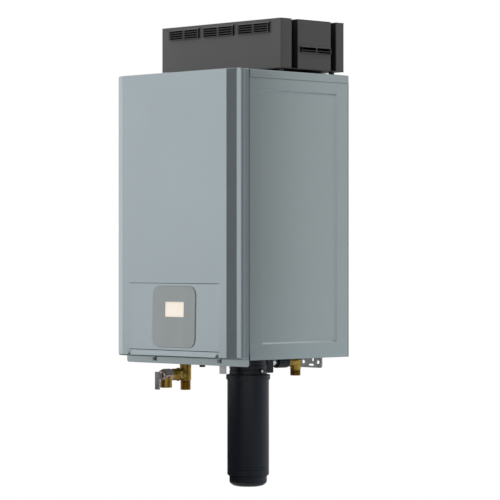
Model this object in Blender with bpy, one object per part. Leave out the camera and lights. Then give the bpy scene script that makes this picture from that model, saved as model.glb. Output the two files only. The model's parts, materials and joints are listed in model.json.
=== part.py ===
"""Wall-hung outdoor tankless water heater, built as separate pieces.

Metres, +Z up, +Y towards the wall and -Y towards the room. The origin lies on the wall, in the middle
of the upper wall bracket's flange. The cabinet hangs below it and the vent hood stands in front of it.
"""

import math

import bmesh
import bpy
from mathutils import Matrix, Vector

# Clearances and sheet
SEAT = 0.0003
OVERRUN = 0.005
MERGE = 0.000001
SHEET = 0.0012
BEND_R = 0.0020
CARTRIDGE_SIDES = 20
ROUND_SIDES = 12
SMALL_SIDES = 8
SMOOTH_ANGLE = math.radians(34)
STRAIGHT = -0.999
PIPE_STEPS = 2
PIPE_RESOLUTION = 2

# Cabinet
CASE_W = 0.450
CASE_H = 0.705
CASE_DEPTH = 0.3455
STANDOFF = 0.006
HANG_DROP = 0.018
FLANGE = 0.012
FIELD_FRONT_MARGIN = 0.043
FIELD_REAR_MARGIN = 0.0425
FIELD_TOP_MARGIN = 0.0485
FIELD_BASE_MARGIN = 0.038
FIELD_DEPTH = 0.0035
FIELD_SLOPE = 0.004
BEAD_W = 0.340
BEAD_H = 0.018
BEAD_OUT = 0.003
BEAD_HEIGHTS = (0.170, 0.490)
LID_SKIRT = 0.020
LID_EDGE_R = 0.003
SIDE_BEND_R = 0.0018
PAN_RISE = 0.030
PAN_SKIRT = 0.015
LIP_DROP = 0.016
LIP_CORNER_R = 0.006

# Front cover
COVER_DEPTH = 0.042
SEAM = 0.002
COVER_TOP_RISE = 0.001
COVER_BASE_RISE = 0.0026
COVER_BEVEL_RUN = 0.020
COVER_BEVEL_RISE = 0.009
COVER_CORNER_R = 0.0186
COVER_EDGE_R = 0.0035
CREASE_STEP = 0.0032
CREASE_BAND = 0.0016
CREASE_UPPER = 0.186
CREASE_LOWER = 0.0205
CREASE_MARGIN = 0.053
CREASE_SHARES = ((1.0, 0.0), (0.96, 0.2), (0.90, 0.75), (0.85, 1.0))
TAB_W = 0.010
COVER_TAB_DROP = 0.0125
GASKET_W = 0.014
GASKET_SET_IN = 0.0008
SCREW_X = 0.1185
SCREW_DROP = 0.0052
SCREW_R = 0.0040
SCREW_HEAD = 0.0022
SCREW_CROWN_SHARE = 0.7
SCREW_SLOT = 0.0007
SCREW_SHANK_R = 0.0020
SCREW_SHANK = 0.010

# Control panel, display and board
BEZEL_W = 0.155
BEZEL_H = 0.151
BEZEL_X = 0.001
BEZEL_BASE = 0.027
BEZEL_CORNER_R = 0.021
BEZEL_PROUD = 0.0025
BEZEL_BODY = 0.012
BEZEL_WALL = 0.0022
BEZEL_FLANGE = 0.004
BEZEL_FLANGE_T = 0.0015
BEZEL_GAP = 0.0005
DISPLAY_W = 0.0695
DISPLAY_H = 0.037
DISPLAY_X = 0.0028
DISPLAY_BASE = 0.1025
DISPLAY_T = 0.0015
DISPLAY_LEDGE = 0.003
BOARD_T = 0.0016
MODULE_MARGIN = 0.002

# Wall brackets
BRACKET_T = 0.0025
BRACKET_W = 0.255
BRACKET_CORNER_R = 0.006
UPPER_FLANGE_UP = 0.016
UPPER_FLANGE_DOWN = 0.024
UPPER_ATTACH = 0.032
LOWER_FLANGE_DROP = 0.0315
LOWER_FLANGE_TOP = 0.004
LOWER_ATTACH = 0.024
BRACKET_JOGGLE = 0.008
BRACKET_HOLE_R = 0.0048
BRACKET_HOLE_XS = (0.0618, 0.114)
LOWER_HOLE_DROP = 0.0172
TALL_SLOT_X = 0.0955
TALL_SLOT_W = 0.006
TALL_SLOT_H = 0.0085
TALL_SLOT_DROP = 0.01075
WIDE_SLOT_X = 0.0897
WIDE_SLOT_W = 0.0178
WIDE_SLOT_H = 0.0048
WIDE_SLOT_DROP = 0.0242
SLOT_CORNER_R = 0.0018

# Vent hood
HOOD_W = 0.434
HOOD_DEPTH = 0.222
HOOD_H = 0.123
HOOD_LIFT = 0.008
HOOD_WALL_GAP = 0.015
HOOD_FRONT_STRIP = 0.0375
HOOD_CHANNEL_FRONT = 0.021
HOOD_CHANNEL_REAR = 0.0193
HOOD_REAR_STRIP = 0.0282
HOOD_CHANNEL_DEPTH = 0.0265
HOOD_CORE_LAP = 0.013
HOOD_FOOT_R = 0.007
HOOD_FOOT_INSET = 0.022
CORE_WINDOW_W = 0.046
CORE_WINDOW_H = 0.060
CORE_WINDOW_PITCH = 0.058
CORE_WINDOW_BASE = 0.034
CORE_FRONT_WINDOW_W = 0.090

# Raised louvre boxes, pressed out of the hood's sheets
LOUVRE_RAISE = 0.005
LOUVRE_SLOPE = 0.003
LOUVRE_LIP = 0.0008
FRONT_LOUVRE_W = 0.110
FRONT_LOUVRE_PITCH = 0.1265
FRONT_LOUVRE_X = -0.0042
FRONT_LOUVRE_LOW = 0.0900
FRONT_LOUVRE_H = 0.0265
FRONT_LOUVRE_SLOTS = (0.0036, 0.0036, 0.0036, 0.0036)
FRONT_LOUVRE_RIB = 0.0023
FRONT_LOUVRE_END = 0.004
FRONT_LOUVRE_MID = 0.007
SIDE_LOUVRE_FRONT = 0.0092
SIDE_LOUVRE_REAR = 0.0018
SIDE_LOUVRE_LOW = 0.0410
SIDE_LOUVRE_H = 0.0175
SIDE_LOUVRE_SLOTS = (0.0064, 0.0032)
SIDE_LOUVRE_RIB = 0.0020
SIDE_LOUVRE_END = 0.0012
SIDE_LOUVRE_MID = 0.0053

# Heat exchangers, burner and flue
LINK_OUT = 0.031
RISER_OUT = 0.047
STACK_D = 0.190
STACK_BACK = 0.055
STACK_EDGE_R = 0.003
STACK_LAP = 0.006
EXCHANGER_SHARE = 0.4697
BURNER_LIFT = 0.3044
EAR_W = 0.030
EAR_H = 0.022
EAR_T = 0.003
EAR_SHARE = 0.36
SECONDARY_TOP = 0.046
SECONDARY_RIB = 0.003
SECONDARY_RIBS = 6
SECONDARY_RIB_W = 0.012
SECONDARY_RIB_MARGIN = 0.014
SECONDARY_RIB_RISE = 0.028
SECONDARY_PORT_R = 0.013
SECONDARY_PORT_OUT = 0.006
SECONDARY_PORT_SHARE = 0.35
FLUE_SOCKET_DEPTH = 0.010
DRAIN_BOSS_RISE = 0.014
PRIMARY_WALL = 0.0020
FIN_COUNT = 5
FIN_T = 0.0010
FIN_GAP = 0.0020
FIN_MARGIN = 0.022
TUBE_R = 0.009
TUBE_COLUMN_PITCH = 0.050
TUBE_ROW_PITCH = 0.036
TUBE_BEND_OUT = 0.004
TUBE_STUB = 0.006
BURNER_BOX_H = 0.090
BURNER_WALL = 0.0020
BURNER_RISE = 0.028
BURNER_BARS = 7
BURNER_BAR_W = 0.012
BURNER_BAR_H = 0.028
BURNER_PLATE_T = 0.004
BURNER_SLOT = 0.003
BURNER_SLOT_MARGIN = 0.010
FLUE_R = 0.048
FLUE_WALL = 0.0015
FLUE_RISE = 0.012
FLUE_GAP = 0.0133
FLUE_FLANGE_R = 0.058
FLUE_FLANGE_T = 0.0020
ROD_R = 0.0018
CERAMIC_R = 0.0055
CERAMIC_OUT = 0.016
CERAMIC_IN = 0.010
ROD_HEIGHT = 0.012
ROD_FLANGE_W = 0.012
ROD_FLANGE_T = 0.002
IGNITER_REACH = 0.040
FLAME_ROD_REACH = 0.060
ROD_SHARE = 0.24

# Blower
BLOWER_X = -0.042
BLOWER_Y = -0.160
BLOWER_DROP = 0.112
BLOWER_W = 0.052
BLOWER_WALL = 0.0025
SCROLL_START_R = 0.068
SCROLL_GROWTH = 0.024
SCROLL_TONGUE = 0.034
SCROLL_STEPS = 15
INLET_R = 0.034
IMPELLER_R = 0.060
IMPELLER_W = 0.036
IMPELLER_EYE_R = 0.046
IMPELLER_PLATE = 0.0018
BLADE_COUNT = 12
BLADE_T = 0.0012
BLADE_IN_R = 0.0475
BLADE_OUT_R = 0.0590
BLADE_LEAN = math.radians(9)
BLADE_STEPS = 2
HUB_R = 0.010
HUB_LENGTH = 0.014
SHAFT_R = 0.004
SHAFT_LENGTH = 0.026
SHAFT_HOLE_R = 0.006
MOTOR_R = 0.042
MOTOR_LENGTH = 0.046
MOTOR_EDGE_R = 0.006
MOTOR_FLANGE_R = 0.052
MOTOR_FLANGE_T = 0.005
MIXER_R = 0.030
MIXER_MOUTH_R = 0.025
MIXER_THROAT_R = 0.018
MIXER_THROAT_H = 0.014
MIXER_LENGTH = 0.040
MIXER_FLANGE_R = 0.044
MIXER_FLANGE_T = 0.004
MIXER_PORT_R = 0.011
MIXER_PORT_OUT = 0.008
MIXER_PORT_BORE_R = 0.005

# Gas train
GAS_X = 0.045
GAS_Y = -0.300
NIPPLE_R = 0.0135
NIPPLE_BORE_R = 0.0105
NIPPLE_BELOW = 0.012
NIPPLE_ABOVE = 0.010
NIPPLE_COLLAR_R = 0.018
NIPPLE_COLLAR_T = 0.003
GAS_BODY_W = 0.052
GAS_BODY_D = 0.050
GAS_BODY_H = 0.078
GAS_BORE_R = 0.008
SOLENOID_R = 0.016
SOLENOID_LENGTH = 0.032
SOLENOID_SHARE = 0.66
PLUNGER_R = 0.0070
PLUNGER_LENGTH = 0.030
PLUNGER_NOSE = 0.002
GAS_PIPE_R = 0.008

# Cartridge and cold inlet, under the cabinet
CARTRIDGE_X = 0.120
CARTRIDGE_Y = -0.255
COLLAR_R = 0.0545
COLLAR_DROP = 0.0395
COLLAR_H = 0.0125
CANISTER_R = 0.0515
CANISTER_H = 0.235
GROOVE_H = 0.002
GROOVE_DEPTH = 0.003
CAP_R = 0.0463
CAP_H = 0.014
DOME_H = 0.012
DOME_SHARES = ((0.60, 1.0), (0.90, 0.55))
NECK_R = 0.036
NECK_H = 0.022
LUG_R = 0.0405
LUG_LOW = 0.008
LUG_H = 0.004
LUG_COUNT = 3
LUG_SPAN = 40
LUG_SLOT_SPAN = 44
LUG_TWIST = 50
LUG_LAP = 0.0038
ORING_R = 0.0016
ORING_STEPS = 5
ORING_RING_R = 0.0353
ORING_LEVEL = 0.0175
ORING_GROOVE = 0.0038
HEAD_R = 0.0465
HEAD_BORE_R = 0.0377
HEAD_SOCKET_H = 0.034
HEAD_BLOCK_W = 0.044
HEAD_BLOCK_BACK = 0.0865
HEAD_BLOCK_EDGE_R = 0.002
HEAD_BLOCK_LAP = 0.006
HEAD_BLOCK_MARGIN = 0.002
BLEED_BOSS_R = 0.0078
BLEED_BOSS_OUT = 0.006
BLEED_BOSS_LAP = 0.002
BLEED_DROP = 0.0305
PORT_R = 0.008
WATER_DROP = 0.011
BOSS_R = 0.016
BOSS_ABOVE = 0.012
TAILPIECE_R = 0.0100
TAILPIECE_FLANGE_R = 0.0130
TAILPIECE_FLANGE_T = 0.003
NUT_R = 0.0160
NUT_BORE_R = 0.0136
NUT_INSIDE_R = 0.0131
NUT_WALL = 0.003
NUT_LENGTH = 0.035
NUT_RIBS = 16
NUT_RIB = 0.0010
NUT_GAP = 0.0085
ELBOW_Y = -0.090
ELBOW_R = 0.0138
ELBOW_END_SHARES = ((0.92, 0.40), (0.70, 0.72))
ELBOW_DROP_R = 0.0135
THREAD_R = 0.0132
THREAD_BORE_R = 0.0095
THREAD_H = 0.014
ELBOW_DROP = 0.0477
HEAD_TAB_X = 0.107
HEAD_TAB_W = 0.024
HEAD_TAB_Y = -0.3405
HEAD_TAB_DROP = 0.036
HEAD_PLATE_X = 0.072
HEAD_PLATE_W = 0.096
HEAD_PLATE_D = 0.150
HEAD_PLATE_T = 0.0016
HEAD_PLATE_HOLE_R = 0.036

# Water train inside
PIPE_R = 0.0095
PIPE_BEND = 0.020
RIGHT_PIPE_X = 0.162
LEFT_PIPE_GAP = 0.0015
LINK_Y = -0.100
HOT_TURN_RISE = 0.040
INLET_PIPE_H = 0.0154
SENSOR_R = 0.0155
SENSOR_BORE_R = 0.0105
SENSOR_H = 0.060
SPIDER_W = 0.003
SPIDER_T = 0.003
SPIDER_HUB_R = 0.0036
SPIDER_REACH = 0.0125
SPIDER_LOW = 0.012
SPIDER_HIGH = 0.044
AXLE_R = 0.0015
ROTOR_R = 0.0095
ROTOR_H = 0.014
ROTOR_LOW = 0.022
ROTOR_VANES = 5
ROTOR_HUB_R = 0.0032
ROTOR_BORE_R = 0.0018
VANE_IN_R = 0.0025
VANE_T = 0.0010
VANE_TWIST = math.radians(40)
VANE_STEPS = 2
VANE_MARGIN = 0.001
VALVE_W = 0.038
VALVE_H = 0.046
VALVE_EDGE_R = 0.002
VALVE_PORT_R = 0.0072
SPOOL_R = 0.0100
SPOOL_LENGTH = 0.024
SPOOL_PORT_R = 0.0060
SPOOL_PORT_SHARE = 0.8
SPOOL_STEM_R = 0.0030
SPOOL_STEM = 0.014
VALVE_MOTOR_R = 0.018
VALVE_MOTOR_LENGTH = 0.026
VALVE_MOTOR_LAP = 0.004

# Hot outlet tee and relief valve
TEE_INSET = 0.115
TEE_Y = -0.2535
TEE_BODY_R = 0.0145
TEE_BORE_R = 0.0095
TEE_AXIS_DROP = 0.0465
TEE_NECK_DROP = 0.061
TEE_DROP = 0.0864
TEE_BRANCH = 0.020
TEE_BRANCH_R = 0.0138
TEE_ABOVE = 0.010
RELIEF_BODY_R = 0.0138
RELIEF_HEX_R = 0.0168
RELIEF_HEX_T = 0.008
RELIEF_RING_R = 0.0150
RELIEF_RING_T = 0.0025
RELIEF_RING_PITCH = 0.007
RELIEF_RINGS = 2
RELIEF_RING_START = 0.034
RELIEF_OUTLET_OUT = 0.0665
RELIEF_OUTLET_R = 0.0150
RELIEF_OUTLET_BORE_R = 0.0110
RELIEF_OUTLET_DROP = 0.0785
BONNET_R = 0.0154
BONNET_START = 0.0520
BONNET_END = 0.0845
CAP_FACE_R = 0.0125
CAP_FACE_T = 0.0025
RELIEF_SEAT_R = 0.0065
RELIEF_SEAT_OUT = 0.0480
RELIEF_CHAMBER_R = 0.0115
RELIEF_CHAMBER_END = 0.0790
STEM_R = 0.0024
STEM_BORE_R = 0.0028
STEM_DISC_R = 0.0090
STEM_DISC_T = 0.0035
STEM_BEYOND_PIN = 0.003
PIN_R = 0.0014
PIN_HOLE_R = 0.0018
PIN_OUT = 0.006
PIN_END = 0.0008
LEVER_W = 0.0140
LEVER_T = 0.0016
LEVER_REACH = 0.0074
LEVER_FLANGE = 0.0044
LEVER_TOP = 0.0087
LEVER_BELOW = 0.0360
LEVER_EAR_R = 0.0046

# Condensate, gland and electrics
DRAIN_X = -0.020
DRAIN_Y = -0.279
DRAIN_R = 0.0075
DRAIN_BORE_R = 0.0050
DRAIN_DROP = 0.0252
DRAIN_FLANGE_R = 0.012
DRAIN_FLANGE_T = 0.002
TRAP_W = 0.060
TRAP_D = 0.046
TRAP_H = 0.062
TRAP_CAP_R = 0.014
TRAP_CAP_H = 0.008
HOSE_R = 0.0065
HOSE_BEND = 0.016
GLAND_INSET = 0.026
GLAND_Y = -0.120
GLAND_R = 0.011
GLAND_BORE_R = 0.0055
GLAND_BORE_H = 0.020
GLAND_DROP = 0.012
BOX_DEPTH = 0.040
JUNCTION_Y = -0.170
JUNCTION_D = 0.095
JUNCTION_RISE = 0.045
JUNCTION_H = 0.080
CONTROL_Y = -0.300
CONTROL_D = 0.175
CONTROL_RISE = 0.200
CONTROL_H = 0.250
SPARK_Y = -0.200
SPARK_D = 0.070
SPARK_RISE = 0.300
SPARK_H = 0.065
SPARK_STUB_R = 0.005
SPARK_STUB = 0.012
SPARK_STUB_SHARES = (0.3, 0.7)
BOX_LID_T = 0.003
BOX_LID_MARGIN = 0.003
BOX_EDGE_R = 0.003
BOX_LAP = 0.006

# Places that follow from the sizes above
HALF_W = CASE_W / 2
CREASE_HALF = HALF_W - CREASE_MARGIN
GLAND_X = GLAND_INSET - HALF_W
TEE_X = TEE_INSET - HALF_W
CASE_TOP = -HANG_DROP
CASE_BASE = CASE_TOP - CASE_H
CASE_BACK = -STANDOFF
CASE_FRONT = CASE_BACK - CASE_DEPTH
PANEL_BACK = CASE_BACK - SHEET - SEAT
PANEL_TOP = CASE_TOP - LID_EDGE_R - SEAT
LID_HALF = HALF_W + SEAT + SHEET
INNER_W = HALF_W - SHEET - SEAT
FIELD_INNER = HALF_W - FIELD_DEPTH - SHEET - SEAT
LEFT_PIPE_X = BOX_DEPTH + BOX_LID_T + LEFT_PIPE_GAP + PIPE_R - FIELD_INNER
PAN_FLOOR = CASE_BASE + PAN_RISE
PAN_UNDER = PAN_FLOOR - SHEET
PAN_BACK = PANEL_BACK - SHEET - SEAT
COVER_BACK = CASE_FRONT - SEAM
COVER_FRONT = COVER_BACK - COVER_DEPTH
TAB_FRONT = COVER_BACK - SHEET - SEAT
COVER_TOP = CASE_TOP + COVER_TOP_RISE
COVER_BASE = CASE_BASE + COVER_BASE_RISE
ZONE_LOW = CASE_BASE + CREASE_LOWER
ZONE_HIGH = CASE_BASE + CREASE_UPPER
HOOD_BASE = CASE_TOP + HOOD_LIFT
HOOD_TOP = HOOD_BASE + HOOD_H
HOOD_LOW = HOOD_BASE + SHEET + SEAT
HOOD_HIGH = HOOD_TOP - SHEET - SEAT
HOOD_BACK = -HOOD_WALL_GAP
HOOD_FRONT = HOOD_BACK - HOOD_DEPTH
HOOD_HALF = HOOD_W / 2
CORE_EDGE = HOOD_HALF - HOOD_CHANNEL_DEPTH
CORE_HALF = CORE_EDGE - SEAT
STRIP_END = HOOD_FRONT + HOOD_FRONT_STRIP
DEFLECTOR_START = STRIP_END + HOOD_CHANNEL_FRONT
REAR_START = HOOD_BACK - HOOD_REAR_STRIP
DEFLECTOR_END = REAR_START - HOOD_CHANNEL_REAR
LOUVRE_START = DEFLECTOR_START + SIDE_LOUVRE_FRONT
LOUVRE_END = DEFLECTOR_END - SIDE_LOUVRE_REAR
CORE_FRONT = STRIP_END - HOOD_CORE_LAP
FLUE_Y = CORE_FRONT + SHEET + FLUE_GAP + FLUE_R
STACK_REAR = -STACK_BACK
STACK_FRONT = STACK_REAR - STACK_D
STACK_Y = (STACK_REAR + STACK_FRONT) / 2
STACK_LEFT = LEFT_PIPE_X + LINK_OUT
STACK_RIGHT = RIGHT_PIPE_X - RISER_OUT
STACK_W = STACK_RIGHT - STACK_LEFT
STACK_X = (STACK_LEFT + STACK_RIGHT) / 2
SECONDARY_CEILING = CASE_TOP - SECONDARY_TOP
EXCHANGERS_H = SECONDARY_CEILING - CASE_BASE - BURNER_LIFT - BURNER_BOX_H - SEAT - SEAT
SECONDARY_H = EXCHANGERS_H * EXCHANGER_SHARE
PRIMARY_H = EXCHANGERS_H - SECONDARY_H
SECONDARY_FLOOR = SECONDARY_CEILING - SECONDARY_H
SECONDARY_PORT_Z = SECONDARY_FLOOR + SECONDARY_H * SECONDARY_PORT_SHARE
PRIMARY_CEILING = SECONDARY_FLOOR - SEAT
PRIMARY_FLOOR = PRIMARY_CEILING - PRIMARY_H
TUBE_HIGH = (PRIMARY_CEILING + PRIMARY_FLOOR + TUBE_ROW_PITCH) / 2
TUBE_LOW = TUBE_HIGH - TUBE_ROW_PITCH
BURNER_TOP = PRIMARY_FLOOR - SEAT
BURNER_FLOOR = BURNER_TOP - BURNER_BOX_H
BURNER_PLATE = BURNER_FLOOR + BURNER_RISE
ROD_Z = BURNER_PLATE + BURNER_PLATE_T + BURNER_BAR_H + ROD_HEIGHT
BLOWER_Z = BURNER_FLOOR - BLOWER_DROP
BLOWER_FRONT = BLOWER_Y - BLOWER_W / 2
BLOWER_BACK = BLOWER_Y + BLOWER_W / 2
DUCT_TOP = BURNER_FLOOR - SEAT
DUCT_RIGHT = BLOWER_X + SCROLL_START_R + SCROLL_GROWTH
DUCT_LEFT = BLOWER_X + SCROLL_TONGUE
MIXER_Y = BLOWER_FRONT - MIXER_LENGTH / 2
WATER_Z = CASE_BASE - WATER_DROP
COLLAR_Z = CASE_BASE - COLLAR_DROP
HEAD_TOP = PAN_UNDER - SEAT - HEAD_PLATE_T - SEAT
BOSS_TOP = PAN_FLOOR + BOSS_ABOVE
HEAD_BACK = CARTRIDGE_Y + HEAD_BLOCK_BACK
NUT_START = HEAD_BACK + NUT_GAP
NUT_END = NUT_START + NUT_LENGTH
SENSOR_BASE = BOSS_TOP + SEAT + INLET_PIPE_H + SEAT
VALVE_BASE = SENSOR_BASE + SENSOR_H + SEAT
VALVE_Z = VALVE_BASE + VALVE_H / 2
GAS_BODY_BASE = PAN_FLOOR + NIPPLE_ABOVE + SEAT
GAS_BODY_TOP = GAS_BODY_BASE + GAS_BODY_H
SOLENOID_Z = GAS_BODY_BASE + GAS_BODY_H * SOLENOID_SHARE
SOLENOID_END = GAS_Y + GAS_BODY_D / 2 + SOLENOID_LENGTH
TEE_Z = CASE_BASE - TEE_AXIS_DROP
PIN_Y = TEE_Y - BONNET_END - PIN_OUT
RELIEF_OUTLET_Y = TEE_Y - RELIEF_OUTLET_OUT
TRAP_BASE = PAN_FLOOR + SEAT
TRAP_TOP = TRAP_BASE + TRAP_H
WORLD_Z = Vector((0, 0, 1))

FINISHES = {
    "case_paint": ((0.245, 0.290, 0.305), 0.42, 0.35),
    "cover_paint": ((0.300, 0.350, 0.370), 0.38, 0.35),
    "hood_paint": ((0.050, 0.050, 0.052), 0.50, 0.20),
    "zinc": ((0.560, 0.570, 0.580), 0.40, 1.00),
    "bracket_zinc": ((0.300, 0.300, 0.305), 0.50, 1.00),
    "bezel_plastic": ((0.270, 0.290, 0.290), 0.45, 0.00),
    "display_glass": ((0.900, 0.870, 0.800), 0.20, 0.00),
    "board_green": ((0.020, 0.140, 0.060), 0.50, 0.00),
    "foam": ((0.020, 0.020, 0.022), 0.90, 0.00),
    "brass": ((0.430, 0.300, 0.100), 0.35, 1.00),
    "copper": ((0.680, 0.300, 0.160), 0.35, 1.00),
    "stainless": ((0.520, 0.520, 0.530), 0.30, 1.00),
    "steel": ((0.450, 0.450, 0.460), 0.35, 1.00),
    "black_plastic": ((0.012, 0.012, 0.014), 0.45, 0.00),
    "grey_plastic": ((0.200, 0.205, 0.210), 0.50, 0.00),
    "rubber": ((0.015, 0.015, 0.015), 0.85, 0.00),
    "ceramic": ((0.820, 0.800, 0.760), 0.40, 0.00),
    "cast_alloy": ((0.400, 0.410, 0.420), 0.55, 1.00),
}


def clear_scene():
    for obj in list(bpy.data.objects):
        bpy.data.objects.remove(obj, do_unlink=True)


def own_material(name, finish):
    """One piece's Principled material, with its finish's colour, roughness and metallic."""
    colour, roughness, metallic = FINISHES[finish]
    made = bpy.data.materials.new(f"{name}_{finish}")
    made.use_nodes = True
    shader = made.node_tree.nodes["Principled BSDF"]
    shader.inputs["Base Color"].default_value = (*colour, 1.0)
    shader.inputs["Roughness"].default_value = roughness
    shader.inputs["Metallic"].default_value = metallic
    return made


def put(name, bm, finish):
    """A finished piece from a bmesh."""
    mesh = bpy.data.meshes.new(name)
    bm.to_mesh(mesh)
    bm.free()
    mesh.shade_smooth()
    mesh.set_sharp_from_angle(angle=SMOOTH_ANGLE)
    mesh.materials.append(own_material(name, finish))
    piece = bpy.data.objects.new(name, mesh)
    bpy.context.scene.collection.objects.link(piece)
    return piece


def put_sheet(name, bm, finish):
    """A sheet-metal piece: its outer skin, thickened inwards."""
    piece = put(name, bm, finish)
    gauge = piece.modifiers.new("gauge", "SOLIDIFY")
    gauge.thickness = SHEET
    gauge.offset = -1.0
    gauge.use_even_offset = True
    return piece


def helper(name, bm):
    """A cutter or a joined shape, kept out of the renders."""
    mesh = bpy.data.meshes.new(name)
    bm.to_mesh(mesh)
    bm.free()
    tool = bpy.data.objects.new(name, mesh)
    bpy.context.scene.collection.objects.link(tool)
    tool.hide_render = True
    tool.display_type = "WIRE"
    return tool


def boolean(piece, operation, shapes):
    for shape in shapes:
        label = f"{piece.name}_{operation.lower()}_{len(piece.modifiers)}"
        step = piece.modifiers.new(label, "BOOLEAN")
        step.operation = operation
        step.solver = "EXACT"
        step.object = helper(label, shape)


def cut(piece, *shapes):
    boolean(piece, "DIFFERENCE", shapes)


def join(piece, *shapes):
    boolean(piece, "UNION", shapes)


def aim(axis):
    """The rotation that turns +Z to the axis."""
    return WORLD_Z.rotation_difference(Vector(axis)).to_matrix().to_4x4()


def block(low, high, edge_r=0.0):
    """A box between two corners, with its edges bevelled if a radius is given."""
    bm = bmesh.new()
    low, high = Vector(low), Vector(high)
    place = Matrix.Translation((low + high) / 2) @ Matrix.Diagonal((*(high - low), 1.0))
    bmesh.ops.create_cube(bm, size=1.0, matrix=place)
    if edge_r:
        bmesh.ops.bevel(bm, geom=bm.edges[:], offset=edge_r, segments=1, profile=0.5, affect="EDGES")
    return bm


def around(radius, sides=ROUND_SIDES):
    """The radius of a bore whose flats clear a round piece."""
    return (radius + SEAT) / math.cos(math.pi / sides)


def rod(start, end, radius, sides=SMALL_SIDES):
    """A cylinder between two points."""
    start, end = Vector(start), Vector(end)
    bm = bmesh.new()
    span = end - start
    place = Matrix.Translation((start + end) / 2) @ aim(span.normalized())
    bmesh.ops.create_cone(
        bm,
        cap_ends=True,
        segments=sides,
        radius1=radius,
        radius2=radius,
        depth=span.length,
        matrix=place,
    )
    return bm


def lies_flat(vert):
    """Whether all of a vertex's edges lie level."""
    return all(abs(edge.other_vert(vert).co.z - vert.co.z) < MERGE for edge in vert.link_edges)


def turned(profile, centre, axis=(0, 0, 1), sides=ROUND_SIDES):
    """A solid turned about the axis from a loop of (radius, height) points."""
    bm = bmesh.new()
    points = [bm.verts.new((radius, 0, height)) for radius, height in profile]
    edges = []
    for first, second in zip(points, points[1:] + points[:1]):
        if first.co.x > 0 or second.co.x > 0:
            edges.append(bm.edges.new((first, second)))
    bmesh.ops.spin(
        bm,
        geom=points + edges,
        cent=(0, 0, 0),
        axis=(0, 0, 1),
        dvec=(0, 0, 0),
        angle=math.tau,
        steps=sides,
        use_merge=True,
    )
    bmesh.ops.remove_doubles(bm, verts=bm.verts[:], dist=MERGE)
    middles = [vert for vert in bm.verts if vert.co.xy.length < MERGE]
    bmesh.ops.dissolve_verts(bm, verts=[vert for vert in middles if lies_flat(vert)])
    bmesh.ops.recalc_face_normals(bm, faces=bm.faces[:])
    bmesh.ops.transform(bm, matrix=Matrix.Translation(centre) @ aim(axis), verts=bm.verts[:])
    return bm


def prism(outline, plane, low, high):
    """A flat outline pushed along the axis that its plane leaves out."""
    order = {"XY": (0, 1, 2), "XZ": (0, 2, 1), "YZ": (1, 2, 0)}[plane]

    def point(pair, level):
        values = [0.0, 0.0, 0.0]
        values[order[0]], values[order[1]], values[order[2]] = pair[0], pair[1], level
        return values

    bm = bmesh.new()
    base = bm.faces.new([bm.verts.new(point(pair, low)) for pair in outline])
    pushed = bmesh.ops.extrude_face_region(bm, geom=[base])["geom"]
    step = Vector(point((0, 0), high)) - Vector(point((0, 0), low))
    moved = [part for part in pushed if isinstance(part, bmesh.types.BMVert)]
    bmesh.ops.translate(bm, vec=step, verts=moved)
    bmesh.ops.recalc_face_normals(bm, faces=bm.faces[:])
    return bm


def arc(centre, radius, start, end, steps):
    """Points along an arc, in degrees, in a plane."""
    angles = [math.radians(start + (end - start) * step / steps) for step in range(steps + 1)]
    return [(centre[0] + radius * math.cos(a), centre[1] + radius * math.sin(a)) for a in angles]


def round_rectangle(low, high, radius, steps=3):
    """The outline of a rectangle with round corners."""
    (x0, y0), (x1, y1) = low, high
    return (
        arc((x1 - radius, y0 + radius), radius, -90, 0, steps)
        + arc((x1 - radius, y1 - radius), radius, 0, 90, steps)
        + arc((x0 + radius, y1 - radius), radius, 90, 180, steps)
        + arc((x0 + radius, y0 + radius), radius, 180, 270, steps)
    )


def merged(*shapes):
    """Several shapes that don't touch, in one bmesh."""
    whole = bmesh.new()
    for shape in shapes:
        mesh = bpy.data.meshes.new("shape")
        shape.to_mesh(mesh)
        shape.free()
        whole.from_mesh(mesh)
        bpy.data.meshes.remove(mesh)
    return whole


def bent(points, bend=PIPE_BEND):
    """A path with each real corner rounded."""
    path = [Vector(points[0])]
    for before, corner, after in zip(points, points[1:], points[2:]):
        before, corner, after = Vector(before), Vector(corner), Vector(after)
        back = (before - corner).normalized()
        ahead = (after - corner).normalized()
        if back.dot(ahead) < STRAIGHT:
            path.append(corner)
            continue
        shares = [step / PIPE_STEPS for step in range(PIPE_STEPS + 1)]
        path += [corner + back * bend * (1 - s) ** 2 + ahead * bend * s**2 for s in shares]
    path.append(Vector(points[-1]))
    return path


def pipe(path, radius):
    """A round pipe along a path."""
    curve = bpy.data.curves.new("path", "CURVE")
    curve.dimensions = "3D"
    curve.bevel_depth = radius
    curve.bevel_resolution = PIPE_RESOLUTION
    curve.use_fill_caps = True
    spline = curve.splines.new("POLY")
    spline.points.add(len(path) - 1)
    for place, point in zip(spline.points, path):
        place.co = (*point, 1.0)
    carrier = bpy.data.objects.new("path", curve)
    mesh = bpy.data.meshes.new_from_object(carrier)
    bm = bmesh.new()
    bm.from_mesh(mesh)
    bpy.data.objects.remove(carrier)
    bpy.data.curves.remove(curve)
    bpy.data.meshes.remove(mesh)
    bmesh.ops.remove_doubles(bm, verts=bm.verts[:], dist=MERGE)
    bmesh.ops.recalc_face_normals(bm, faces=bm.faces[:])
    return bm


def sheet(rows, holes=(), ends=()):
    """A sheet's outer skin: a grid of points less its open cells, and flat faces over whole rows."""
    bm = bmesh.new()
    grid = [[bm.verts.new(point) for point in row] for row in rows]
    for r in range(len(grid) - 1):
        for c in range(len(grid[0]) - 1):
            if (r, c) not in holes:
                bm.faces.new((grid[r][c], grid[r][c + 1], grid[r + 1][c + 1], grid[r + 1][c]))
    for row in ends:
        bm.faces.new(grid[row] if row else list(reversed(grid[row])))
    spare = [vert for vert in bm.verts if not vert.link_faces]
    bmesh.ops.delete(bm, geom=spare, context="VERTS")
    bmesh.ops.remove_doubles(bm, verts=bm.verts[:], dist=MERGE)
    return bm


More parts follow.
